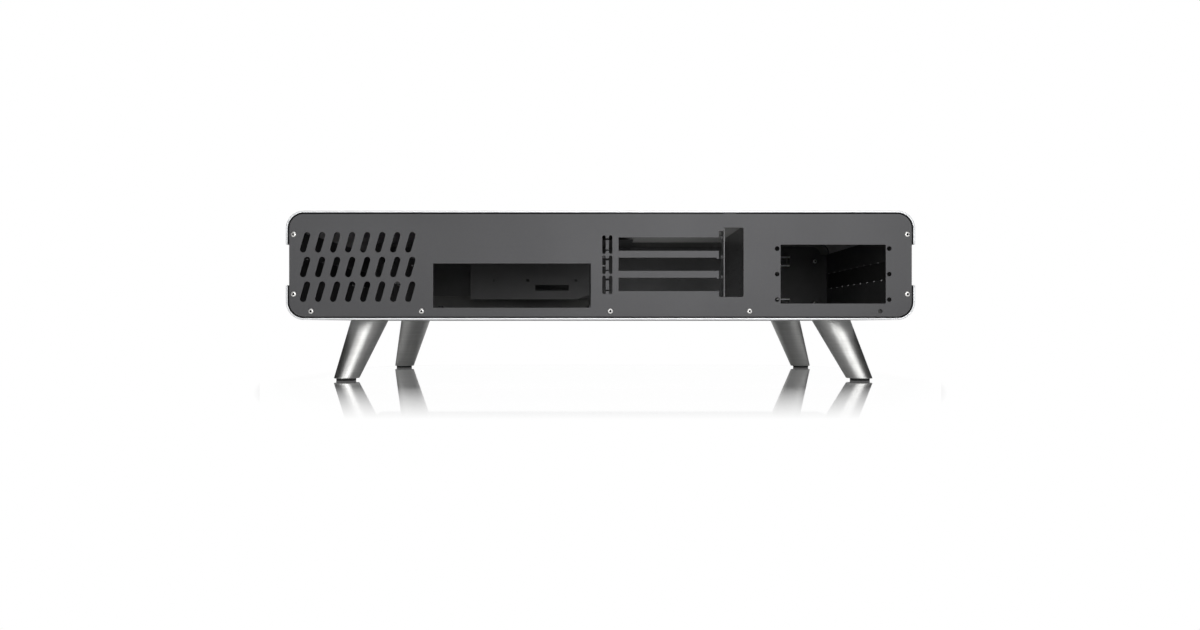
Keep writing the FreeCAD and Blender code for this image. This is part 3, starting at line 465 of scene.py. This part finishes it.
def add_node(tree, kind, settings=None, inputs=None):
    """Add a node with its settings. Each input is a value, or the socket that it is linked to."""
    node = tree.nodes.new("ShaderNode" + kind)
    for name, value in (settings or {}).items():
        setattr(node, name, value)
    for name, value in (inputs or {}).items():
        if isinstance(value, bpy.types.NodeSocket):
            tree.links.new(value, node.inputs[name])
        else:
            node.inputs[name].default_value = value
    return node


def start_material(name, metallic, roughness=None):
    """A material with its node tree, its Principled shader and its object coordinates."""
    material = bpy.data.materials.new(name)
    material.use_nodes = True
    tree = material.node_tree
    shader = tree.nodes["Principled BSDF"]
    shader.inputs["Metallic"].default_value = metallic
    if roughness is not None:
        shader.inputs["Roughness"].default_value = roughness
    place = add_node(tree, "TexCoord").outputs["Object"]
    return material, tree, shader, place


def cell_noise(tree, place, size, stretch=(1, 1, 1), detail=2):
    """Noise whose cells are size millimetres wide times the stretch along each axis."""
    scale = tuple(1 / s for s in stretch)
    mapping = add_node(tree, "Mapping", None, {"Vector": place, "Scale": scale})
    return add_node(tree, "TexNoise", None, {"Vector": mapping.outputs["Vector"],
                                             "Scale": per_mm(size), "Detail": detail}).outputs["Fac"]


def spread(tree, shade, low, high):
    """Noise, which lies mostly from 0.3 to 0.7, carried to values from low to high."""
    return add_node(tree, "MapRange", None, {"Value": shade, "From Min": 0.3, "From Max": 0.7,
                                             "To Min": low, "To Max": high}).outputs["Result"]


def blend_colours(tree, share, first, second):
    """A colour from first to second, by a share from 0 to 1."""
    mix = add_node(tree, "Mix", {"data_type": "RGBA"},
                   {0: share, 6: linear(first), 7: linear(second)})
    return mix.outputs[2]


def rough_up(tree, shader, height, depth):
    """Drive the shader's normal by a height field that is depth millimetres deep."""
    bump = add_node(tree, "Bump", None, {"Height": height, "Distance": depth * MM, "Strength": 1})
    tree.links.new(bump.outputs["Normal"], shader.inputs["Normal"])


def blasted_metal(name, dark, light, roughness, grain, depth, metallic=1):
    """Bead-blasted, anodised aluminium: fine grain and soft highlights, in large clouds a trace
    sharper or softer. Real grain is about 0.1 mm wide, and is drawn wider so that it shows."""
    material, tree, shader, place = start_material(name, metallic)
    fine = cell_noise(tree, place, grain)
    cloud = cell_noise(tree, place, CLOUD_SIZE)
    colour = blend_colours(tree, spread(tree, fine, 0, 1), dark, light)
    tree.links.new(colour, shader.inputs["Base Color"])
    tree.links.new(spread(tree, cloud, roughness - 0.01, roughness + 0.01),
                   shader.inputs["Roughness"])
    rough_up(tree, shader, fine, depth)
    return material


def brushed_metal(name, dark, light, roughness, stretch, depth):
    """Brushed metal: long fine strokes in colour, gloss and height. Real strokes are about 0.05 mm
    wide, and are drawn wider so that they show."""
    material, tree, shader, place = start_material(name, 1)
    strokes = cell_noise(tree, place, STROKE_WIDTH, stretch, detail=4)
    tree.links.new(blend_colours(tree, spread(tree, strokes, 0, 1), dark, light),
                   shader.inputs["Base Color"])
    tree.links.new(spread(tree, strokes, roughness - 0.05, roughness + 0.05),
                   shader.inputs["Roughness"])
    rough_up(tree, shader, strokes, depth)
    return material


def powder_coat(name, dark, light, roughness):
    """Baked paint: even in colour, half matt, with the shallow dimples of orange peel."""
    material, tree, shader, place = start_material(name, 0)
    dimples = cell_noise(tree, place, DIMPLE_SIZE, detail=1)
    tint = cell_noise(tree, place, TINT_SIZE)
    tree.links.new(blend_colours(tree, spread(tree, tint, 0, 1), dark, light),
                   shader.inputs["Base Color"])
    tree.links.new(spread(tree, dimples, roughness - 0.04, roughness + 0.04),
                   shader.inputs["Roughness"])
    rough_up(tree, shader, dimples, DIMPLE_DEPTH)
    return material


def turned_metal(name, dark, light, roughness, ring):
    """Turned aluminium: fine rings left by the cutting tool, drawn level with the ground. Real
    rings are about 0.1 mm apart, and are drawn wider so that they show."""
    material, tree, shader, place = start_material(name, 1)
    rings = cell_noise(tree, place, ring, (200, 200, 1), detail=2)
    cloud = cell_noise(tree, place, STAIN_SIZE)
    tree.links.new(blend_colours(tree, spread(tree, rings, 0, 1), dark, light),
                   shader.inputs["Base Color"])
    tree.links.new(spread(tree, cloud, roughness - 0.02, roughness + 0.04),
                   shader.inputs["Roughness"])
    rough_up(tree, shader, rings, RING_DEPTH)
    return material


def plated_metal(name, dark, light, roughness, metallic=1):
    """Plated steel: bright, with faint tumbling marks."""
    material, tree, shader, place = start_material(name, metallic)
    marks = cell_noise(tree, place, MARK_SIZE, detail=3)
    tree.links.new(blend_colours(tree, spread(tree, marks, 0, 1), dark, light),
                   shader.inputs["Base Color"])
    tree.links.new(spread(tree, marks, roughness - 0.05, roughness + 0.08),
                   shader.inputs["Roughness"])
    rough_up(tree, shader, marks, MARK_DEPTH)
    return material


def soft_rubber(name, dark, light):
    """Moulded rubber: matt black with a fine pebbled skin."""
    material, tree, shader, place = start_material(name, 0)
    pebbles = cell_noise(tree, place, PEBBLE_SIZE)
    tree.links.new(blend_colours(tree, spread(tree, pebbles, 0, 1), dark, light),
                   shader.inputs["Base Color"])
    tree.links.new(spread(tree, pebbles, 0.75, 0.9), shader.inputs["Roughness"])
    rough_up(tree, shader, pebbles, PEBBLE_DEPTH)
    return material


def woven_mesh(name, dark, light):
    """Woven nylon: black threads that cross each other, each thread a sine ridge. The real
    threads are 0.25 mm apart and are drawn wider, so that they show."""
    material, tree, shader, place = start_material(name, 0, 0.8)
    axes = add_node(tree, "SeparateXYZ", None, {"Vector": place})
    ridges = []
    for axis in ("Y", "Z"):
        turn = add_node(tree, "Math", {"operation": "MULTIPLY"},
                        {0: axes.outputs[axis], 1: math.pi * per_mm(THREAD_SPACING)})
        wave = add_node(tree, "Math", {"operation": "SINE"}, {0: turn.outputs[0]})
        ridges.append(add_node(tree, "Math", {"operation": "ABSOLUTE"}, {0: wave.outputs[0]}))
    height = add_node(tree, "Math", {"operation": "MAXIMUM"},
                      {0: ridges[0].outputs[0], 1: ridges[1].outputs[0]}).outputs[0]
    tree.links.new(blend_colours(tree, height, dark, light), shader.inputs["Base Color"])
    rough_up(tree, shader, height, THREAD_DEPTH)
    return material


# The skins: satin anodised aluminium, pale, with highlights that spread wide over the folds
SILVER = blasted_metal("anodised_aluminium_silver", "#C2C3C5", "#D4D5D6", 0.5, 0.5, 0.003)
# The rear panel: anodised dark grey over fine blasting, even, with a broad dull sheen
DARK_GREY = blasted_metal("anodised_aluminium_dark_grey", "#3F3F40", "#484849", 0.44, 0.6, 0.006)
# The front panel: brushed lengthwise and anodised, with streaks that catch the light
BRUSHED = brushed_metal("brushed_aluminium_silver", "#C9CACC", "#E0E1E3", 0.3, (90, 1, 1), 0.004)
# The skins' inside: sheet as it left the mill, which scatters light like pale chalk
MILL_FINISH = blasted_metal("aluminium_mill_finish", "#BDBDBC", "#CACAC9", 0.85, 0.8, 0.004, 0)
# The front panel's inside: flat mid grey without gloss, darker than the brushed outside, which is
# painted shade for the shadow that falls behind the front wall
SHADED_GREY_INSIDE = powder_coat("painted_shade_grey", "#6A6A69", "#747473", 0.7)
# The frame: black powder paint that scatters enough light to look charcoal where it is lit
# Inside the skins near both open ends this paint is painted shade, for the shadow gap round the
# panels
BLACK_COAT_AND_GAP_SHADE = powder_coat("powder_coated_steel_black", "#404041", "#49494A", 0.5)
# Card rail and divider: the same paint with a smoother skin, which shows a soft sheen edge on. It is
# drawn lighter than the frame's paint, which is painted light on the divider's face.
LIT_BLACK_SATIN = powder_coat("powder_coated_steel_black_satin", "#4F4F50", "#585859", 0.3)
# Drive cage: dipped black, darker and thinner, with little relief
BLACK_DIP = powder_coat("dip_coated_steel_black", "#333334", "#3A3A3B", 0.5)
# Legs: turned aluminium, whose fine rings draw each highlight out along the leg
TURNED = turned_metal("turned_aluminium", "#A2A2A1", "#B3B3B1", 0.4, 0.35)
# Clips: spring steel with matt white zinc, the brightest thing in the dark of the case
SPRING = plated_metal("zinc_plated_spring_steel", "#EBECED", "#F6F6F7", 0.5, 0.2)
# Screws: tumbled and nickel plated, warm white points of light
NICKEL = plated_metal("nickel_plated_steel", "#E0DFDD", "#F0EFED", 0.38)
# Posts: black zinc, which keeps a metal's gloss but almost no brightness. On the screw sockets the
# same material is painted shade.
BLACK_ZINC_AND_SOCKET_SHADE = plated_metal("black_zinc_steel_and_socket_shade", "#2C2C2E", "#38383A", 0.3)
# Switch and button: satin stainless steel, a little darker and sharper than aluminium
STAINLESS = brushed_metal("stainless_steel_satin", "#BFBFC0", "#D6D6D7", 0.28, (1, 60, 1), 0.002)
# Pads: black rubber, which only shows its edge
RUBBER = soft_rubber("rubber_black", "#151515", "#1E1E1E")
# Dust mesh: black nylon threads, which close the slots to the eye but not to air
MESH_CLOTH = woven_mesh("nylon_dust_mesh_black", "#0A0A0A", "#2A2A2A")


# Pieces

def dressed(node, body, material, edge, steps=2):
    """A sheet metal node with its sharp edges broken, on a merged copy of its own mesh."""
    piece = place_piece(whole_faces(merged_copy(node)), node + "_sheet", body, [node], material,
                        70)
    bevel = piece.modifiers.new("edge", "BEVEL")
    bevel.width = edge * MM
    bevel.segments = steps
    bevel.limit_method = "ANGLE"
    bevel.angle_limit = math.radians(40)
    bevel.use_clamp_overlap = False
    flat = piece.modifiers.new("flat_faces", "WEIGHTED_NORMAL")
    flat.mode = "FACE_AREA"
    flat.weight = 100
    return piece


def line_inside(piece, material, axes, reach, shade_band_material=None, end=0):
    """Give a second material to the faces that look to the middle of the case along the given axes
    and lie within reach of it sideways, and a third one to those of them beyond the end in Y. On the
    front panel the second is painted shade; on the skins the third is painted shade, for the shadow
    gap round the panels."""
    piece.data.materials.append(material)
    if shade_band_material:
        piece.data.materials.append(shade_band_material)
    count = len(piece.data.polygons)
    centres = np.empty(3 * count)
    normals = np.empty(3 * count)
    piece.data.polygons.foreach_get("center", centres)
    piece.data.polygons.foreach_get("normal", normals)
    centres = centres.reshape(-1, 3)
    inward = (normals.reshape(-1, 3) * (CASE_MIDDLE - centres / MM) * axes).sum(axis=1) > 0.1
    inward &= np.abs(centres[:, 0]) < reach * MM
    index = inward.astype(np.int32)
    if shade_band_material:
        index[inward & (np.abs(centres[:, 1]) > end * MM)] = 2
    piece.data.polygons.foreach_set("material_index", index)


def shells():
    """The two halves of the skin: folded sheets that are open at the front and the rear."""
    for node, rim_last in (("bottom_shell", False), ("top_cover", True)):
        low, high = node_box(node)
        inset = SHELL_WALL / 2
        left, right = low[0] + inset, high[0] - inset
        if rim_last:
            corners = [(right, low[2]), (right, high[2] - inset), (left, high[2] - inset),
                       (left, low[2])]
        else:
            corners = [(left, high[2]), (left, low[2] + inset), (right, low[2] + inset),
                       (right, high[2])]
        path = filleted_path(corners, SHELL_CORNER_RADIUS - inset)
        mesh = bent_slab(*path, SHELL_WALL, SHELL_EDGE, SHELL_SHADE_BAND, low[1], high[1])
        skin = place_piece(mesh, node + "_skin", "case", [node], SILVER)
        # The inside gets the mill finish, and near both open ends black paint, which is painted shade
        # for the shadow gap round the panels.
        line_inside(skin, MILL_FINISH, (1, 0, 1), high[0] - SHELL_WALL + SHELL_EDGE, BLACK_COAT_AND_GAP_SHADE,
                    high[1] - SHELL_SHADE_BAND)


def panels():
    dressed("rear_panel", "case", DARK_GREY, PANEL_EDGE)
    fascia = dressed("front_panel", "case", BRUSHED, PANEL_EDGE)
    # The front panel's inside is painted shade.
    line_inside(fascia, SHADED_GREY_INSIDE, (0, 1, 0), cad_high[0] / MM)


def chassis():
    """The inner frame's sheets."""
    for node, coat in (("chassis_floor", BLACK_COAT_AND_GAP_SHADE), ("front_wall", BLACK_COAT_AND_GAP_SHADE),
                       ("side_panel_right", BLACK_COAT_AND_GAP_SHADE), ("side_panel_left", BLACK_COAT_AND_GAP_SHADE),
                       # The rail and divider take the lighter paint, painted light on the divider's
                       # face.
                       ("card_rail", LIT_BLACK_SATIN), ("divider_wall", LIT_BLACK_SATIN),
                       ("drive_cage", BLACK_DIP), ("drive_cage_inner", BLACK_DIP)):
        dressed(node, "case", coat, SHEET_EDGE)
    dressed("front_clips", "case", SPRING, SHEET_EDGE)
    for node in ("side_filter_right", "side_filter_left"):
        dressed(node, "case", MESH_CLOTH, SHEET_EDGE / 2)


def legs():
    """Four turned legs, each on its rubber pad."""
    screws = {(low[0] > 0, low[1] > 0): (low + high) / 2 for low, high in solid_boxes("leg_screws")}
    for end, is_front in (("front", True), ("rear", False)):
        for hand, is_right in (("right", True), ("left", False)):
            node = "leg_%s_%s" % (end, hand)
            pad = "foot_pad_%s_%s" % (end, hand)
            low, high = node_box(node)
            pad_low, pad_high = node_box(pad)
            foot = (pad_low + pad_high) / 2
            foot[2] = low[2]
            top = screws[is_right, is_front].copy()
            top[2] = high[2]
            place_piece(surface_mesh(*leg_surface(foot, top)), node + "_turned", "case", [node],
                        TURNED)
            radius = (pad_high[0] - pad_low[0]) / 2
            height = pad_high[2] - pad_low[2]
            rows = [(r, height - z) for r, z in quarter_round(radius, height, PAD_EDGE)[::-1]]
            rows += quarter_round(radius, height, PAD_EDGE / 4)
            points, faces = lathe(rows)
            points = points + (foot[0], foot[1], 0)
            place_piece(surface_mesh(points, faces), pad + "_moulded", "case", [pad], RUBBER)


def paint_socket_shade(piece, count, width):
    """Paint shade into the sockets of screws: their faces get the dark black zinc, as painted shade
    where a deep socket lies in shadow.

    The faces of each screw follow each other, and those of its socket are near its axis."""
    piece.data.materials.append(BLACK_ZINC_AND_SOCKET_SHADE)
    faces = len(piece.data.polygons)
    centres = np.empty(3 * faces)
    piece.data.polygons.foreach_get("center", centres)
    each = centres.reshape(count, -1, 3)[:, :, [0, 2]]
    middle = (each.min(axis=1, keepdims=True) + each.max(axis=1, keepdims=True)) / 2
    socket_shade_faces = np.linalg.norm(each - middle, axis=2) < 0.6 * width * MM
    piece.data.polygons.foreach_set("material_index", socket_shade_faces.ravel().astype(np.int32))


def screws():
    """Small screws of the rear panel and the front wall, and the large ones that hold the legs."""
    for node in ("panel_screws", "front_wall_screws"):
        boxes = solid_boxes(node)
        length = boxes[0][1][1] - boxes[0][0][1] - SCREW_HEAD_HEIGHT
        points, faces = screw_surface(SCREW_HEAD_WIDTH, SCREW_HEAD_HEIGHT, SCREW_SHANK_WIDTH, length,
                                      SCREW_SOCKET_WIDTH, SCREW_SOCKET_DEPTH, SCREW_THREAD_PITCH, 0.7)
        places = [((low[0] + high[0]) / 2, low[1] + SCREW_HEAD_HEIGHT, (low[2] + high[2]) / 2)
                  for low, high in boxes]
        surface = repeated(heads_to_rear(points), faces, places)
        piece = place_piece(surface_mesh(*surface), node + "_threaded", "case", [node], NICKEL)
        # The sockets of these screws get painted shade.
        paint_socket_shade(piece, len(places), SCREW_SOCKET_WIDTH)
    boxes = solid_boxes("leg_screws")
    length = boxes[0][1][2] - boxes[0][0][2] - LEG_SCREW_HEAD_HEIGHT
    points, faces = screw_surface(LEG_SCREW_HEAD_WIDTH, LEG_SCREW_HEAD_HEIGHT, LEG_SCREW_SHANK_WIDTH,
                                  length, LEG_SCREW_SOCKET_WIDTH, LEG_SCREW_SOCKET_DEPTH,
                                  LEG_SCREW_THREAD_PITCH, 0.55)
    places = [((low[0] + high[0]) / 2, (low[1] + high[1]) / 2, high[2] - LEG_SCREW_HEAD_HEIGHT)
              for low, high in boxes]
    surface = repeated(points, faces, places)
    place_piece(surface_mesh(*surface), "leg_screws_threaded", "case", ["leg_screws"], NICKEL)


def posts():
    """Hexagonal posts with turned-down rims and a bore for the board's screws."""
    boxes = solid_boxes("standoffs")
    height = boxes[0][1][2] - boxes[0][0][2]
    outer = hexagon_radius(POST_WIDTH)
    chamfer = POST_WIDTH / 2 * 0.98
    bore = POST_BORE_WIDTH / 2
    rows = [(np.minimum(outer, chamfer), 0), (outer, 0.5), (outer, height - 0.5),
            (np.minimum(outer, chamfer), height), (bore + 0.25, height), (bore, height - 0.25),
            (bore, height - POST_BORE_DEPTH), (bore / 2, height - POST_BORE_DEPTH - 0.8)]
    points, faces = lathe(rows)
    places = [((low[0] + high[0]) / 2, (low[1] + high[1]) / 2, low[2]) for low, high in boxes]
    surface = repeated(points, faces, places)
    place_piece(surface_mesh(*surface), "standoffs_turned", "case", ["standoffs"],
                BLACK_ZINC_AND_SOCKET_SHADE)


def power_switch():
    """The push switch: threaded barrel with a bezel, its nut, and the button with a dished face."""
    low, high = node_box("switch_body")
    centre = ((low[0] + high[0]) / 2, high[1], (low[2] + high[2]) / 2)
    length = high[1] - low[1]
    bezel = (high[0] - low[0]) / 2
    seat = -SWITCH_BEZEL_HEIGHT
    bore = SWITCH_BORE_WIDTH / 2
    rows = [(SWITCH_BARREL_WIDTH / 2 - 0.8, -length), (SWITCH_BARREL_WIDTH / 2 - 0.4, -length + 0.4)]
    rows += thread_rows(SWITCH_BARREL_WIDTH, SWITCH_THREAD_PITCH, -length + 0.4, seat)
    rows += [(bezel - 0.2, seat), (bezel, seat + 0.2), (bezel, -0.5), (bezel - 0.15, -0.2),
             (bezel - 0.6, 0), (bore + 0.3, 0), (bore, -0.3), (bore, -SWITCH_BORE_DEPTH)]
    points, faces = lathe(rows)
    points = heads_to_front(points) + centre
    place_piece(surface_mesh(points, faces), "switch_body_threaded", "case", ["switch_body"],
                STAINLESS)

    low, high = node_box("power_button")
    radius = (high[0] - low[0]) / 2
    rows = [(radius - 0.3, low[1] - high[1]), (radius, low[1] - high[1] + 0.3)]
    rows += quarter_round(radius, 0, BUTTON_EDGE, 5)
    for share in np.linspace(0.9, 0.1, 9):
        rows.append((radius * share, -BUTTON_DISH * (1 - (share / 0.95) ** 2)))
    points, faces = lathe(rows)
    points = heads_to_front(points) + ((low[0] + high[0]) / 2, high[1], (low[2] + high[2]) / 2)
    place_piece(surface_mesh(points, faces), "power_button_dished", "button",
                ["power_button"], STAINLESS)

    low, high = node_box("switch_nut")
    radius = (high[0] - low[0]) / 2
    height = high[1] - low[1]
    bore = NUT_BORE_WIDTH / 2
    knurl = 0.15 * (np.arange(TURN_STEPS) % 2)
    ring = [(bore, 0.3), (bore + 0.3, 0), (radius - 0.5, 0), (radius - knurl, 0.5),
            (radius - knurl, height - 0.5), (radius - 0.5, height), (bore + 0.3, height),
            (bore, height - 0.3)]
    rings = turned_rings(ring)
    index = np.arange(len(ring) * TURN_STEPS).reshape(len(ring), TURN_STEPS)
    right = np.roll(index, -1, axis=1)
    above = np.roll(index, -1, axis=0)
    corner = np.roll(right, -1, axis=0)
    faces = np.stack([index, right, corner, above], axis=-1).reshape(-1, 4).tolist()
    points = heads_to_front(rings.reshape(-1, 3)) + ((low[0] + high[0]) / 2, low[1],
                                                     (low[2] + high[2]) / 2)
    place_piece(surface_mesh(points, faces), "switch_nut_knurled", "case", ["switch_nut"],
                NICKEL)


# Studio

def background_share(tree):
    """One for rays that the camera sees directly, in a reflection or through glass, else nothing."""
    path = add_node(tree, "LightPath")
    share = path.outputs["Is Camera Ray"]
    for kind in ("Is Glossy Ray", "Is Transmission Ray"):
        share = add_node(tree, "Math", {"operation": "MAXIMUM"}, {0: share, 1: path.outputs[kind]})
        share = share.outputs["Value"]
    return share


def studio_world(level):
    """White where it is seen, and an even light of the given level on every surface."""
    world = bpy.data.worlds.new("studio")
    bpy.context.scene.world = world
    world.use_nodes = True
    tree = world.node_tree
    tree.nodes.clear()
    strength = add_node(tree, "MapRange", None, {"Value": background_share(tree), "To Min": level,
                                                 "To Max": 1})
    light = add_node(tree, "Background", None, {"Color": (1, 1, 1, 1),
                                                "Strength": strength.outputs["Result"]})
    add_node(tree, "OutputWorld", None, {"Surface": light.outputs["Background"]})


def studio_floor():
    """A white floor that mirrors the legs close by, less and less away from the case, and keeps a
    faint shadow. The mirror also has the sheen of glass: strong at a low angle, none from above."""
    material = bpy.data.materials.new("white_floor")
    material.use_nodes = True
    tree = material.node_tree
    tree.nodes.clear()
    place = add_node(tree, "NewGeometry").outputs["Position"]
    axes = add_node(tree, "SeparateXYZ", None, {"Vector": place})
    behind = add_node(tree, "Math", {"operation": "MULTIPLY_ADD"},
                      {0: axes.outputs["Y"], 1: -1, 2: -MIRROR_HALF_DEPTH * MM})
    ahead = add_node(tree, "Math", {"operation": "MULTIPLY_ADD"},
                     {0: axes.outputs["Y"], 1: MIRROR_FRONT_FALL,
                      2: -MIRROR_FRONT_FALL * MIRROR_HALF_DEPTH * MM})
    along = add_node(tree, "Math", {"operation": "MAXIMUM"},
                     {0: behind.outputs[0], 1: ahead.outputs[0]})
    along = add_node(tree, "Math", {"operation": "MAXIMUM"}, {0: along.outputs[0], 1: 0})
    across = add_node(tree, "Math", {"operation": "ABSOLUTE"}, {0: axes.outputs["X"]})
    across = add_node(tree, "Math", {"operation": "SUBTRACT"},
                      {0: across.outputs[0], 1: MIRROR_HALF_WIDTH * MM})
    across = add_node(tree, "Math", {"operation": "MULTIPLY_ADD"},
                      {0: along.outputs[0], 1: MIRROR_NARROWING, 2: across.outputs[0]})
    across = add_node(tree, "Math", {"operation": "MAXIMUM"}, {0: across.outputs[0], 1: 0})
    across = add_node(tree, "Math", {"operation": "MULTIPLY"},
                      {0: across.outputs[0], 1: MIRROR_SIDE_FALL})
    offset = add_node(tree, "CombineXYZ", None, {"X": across.outputs[0], "Y": along.outputs[0]})
    distance = add_node(tree, "VectorMath", {"operation": "LENGTH"}, {0: offset.outputs["Vector"]})
    gloss = add_node(tree, "MapRange", None,
                     {"Value": distance.outputs["Value"], "From Min": MIRROR_FULL * MM,
                      "From Max": MIRROR_END * MM, "To Min": MIRROR_STRENGTH, "To Max": 0})
    fresnel = add_node(tree, "Fresnel", None, {"IOR": 1.5})
    sheen = add_node(tree, "MapRange", None, {"Value": fresnel.outputs[0], "From Min": 0.04,
                                              "From Max": 0.55, "To Min": 0, "To Max": 1})
    gloss = add_node(tree, "Math", {"operation": "MULTIPLY"}, {0: gloss.outputs["Result"],
                                                               1: sheen.outputs["Result"]})
    matt_share = add_node(tree, "MapRange", {"interpolation_type": "SMOOTHSTEP"},
                          {"Value": distance.outputs["Value"], "From Min": 0,
                           "From Max": SHADOW_END * MM, "To Min": SHADOW_SHARE, "To Max": 0})
    matt = add_node(tree, "BsdfDiffuse", None, {"Color": (0.9, 0.9, 0.9, 1)})
    white = add_node(tree, "Emission", None, {"Color": (1, 1, 1, 1), "Strength": 1})
    mirror = add_node(tree, "BsdfGlossy", None, {"Color": (1, 1, 1, 1), "Roughness": 0.03})
    lit = add_node(tree, "MixShader", None, {0: matt_share.outputs["Result"], 1: white.outputs[0],
                                             2: matt.outputs[0]})
    seen = add_node(tree, "MixShader", None, {0: gloss.outputs[0], 1: lit.outputs[0],
                                              2: mirror.outputs[0]})
    path = add_node(tree, "LightPath")
    both = add_node(tree, "MixShader", None, {0: path.outputs["Is Camera Ray"], 1: matt.outputs[0],
                                              2: seen.outputs[0]})
    add_node(tree, "OutputMaterial", None, {"Surface": both.outputs[0]})
    half = 20
    stage_plane("floor", [(-half, -half, 0), (half, -half, 0), (half, half, 0), (-half, half, 0)],
                material)


def stage_plane(name, corners, material):
    """A four-cornered sheet of the studio, in metres, which isn't part of the object."""
    data = bpy.data.meshes.new(name)
    data.from_pydata(corners, [], [(0, 1, 2, 3)])
    data.materials.append(material)
    plane = bpy.data.objects.new(name, data)
    bpy.context.scene.collection.objects.link(plane)
    return plane


def dark_cards():
    """Black studio cards at both sides and behind the camera. Only gloss shows them: they draw the
    dark edges of the legs."""
    material = bpy.data.materials.new("black_card")
    material.use_nodes = True
    shader = material.node_tree.nodes["Principled BSDF"]
    shader.inputs["Base Color"].default_value = (0.02, 0.02, 0.02, 1)
    shader.inputs["Roughness"].default_value = 1
    for name, start, end, low in CARDS:
        corners = [(*start, low), (*end, low), (*end, CARD_TOP), (*start, CARD_TOP)]
        card = stage_plane(name, corners, material)
        card.visible_camera = False
        card.visible_diffuse = False
        card.visible_shadow = False
        card.visible_transmission = False


def softbox(name, place, target, width, height, power):
    """A soft rectangular lamp at a place in metres, turned to its target."""
    lamp = bpy.data.lights.new(name, "AREA")
    lamp.shape = "RECTANGLE"
    lamp.size = width
    lamp.size_y = height
    lamp.energy = power
    item = bpy.data.objects.new(name, lamp)
    item.location = place
    direction = Vector(target) - Vector(place)
    item.rotation_euler = direction.to_track_quat("-Z", "Y").to_euler()
    bpy.context.scene.collection.objects.link(item)


def camera():
    """The camera at the photograph's place: level, behind the case, just below its underside."""
    data = bpy.data.cameras.new("camera")
    data.sensor_width = 36
    data.lens = CAMERA_LENS
    data.shift_x, data.shift_y = CAMERA_SHIFT
    data.clip_start = 0.05
    item = bpy.data.objects.new("camera", data)
    item.location = Vector(CAMERA_PLACE) * MM
    item.rotation_euler = (math.pi / 2, 0, 0)
    bpy.context.scene.collection.objects.link(item)
    bpy.context.scene.camera = item


def studio():
    studio_world(WORLD_LEVEL)
    studio_floor()
    dark_cards()
    for lamp in LAMPS:
        softbox(*lamp)


camera()
shells()
panels()
chassis()
legs()
screws()
posts()
power_switch()
studio()
bpy.context.scene.view_settings.view_transform = "Standard"
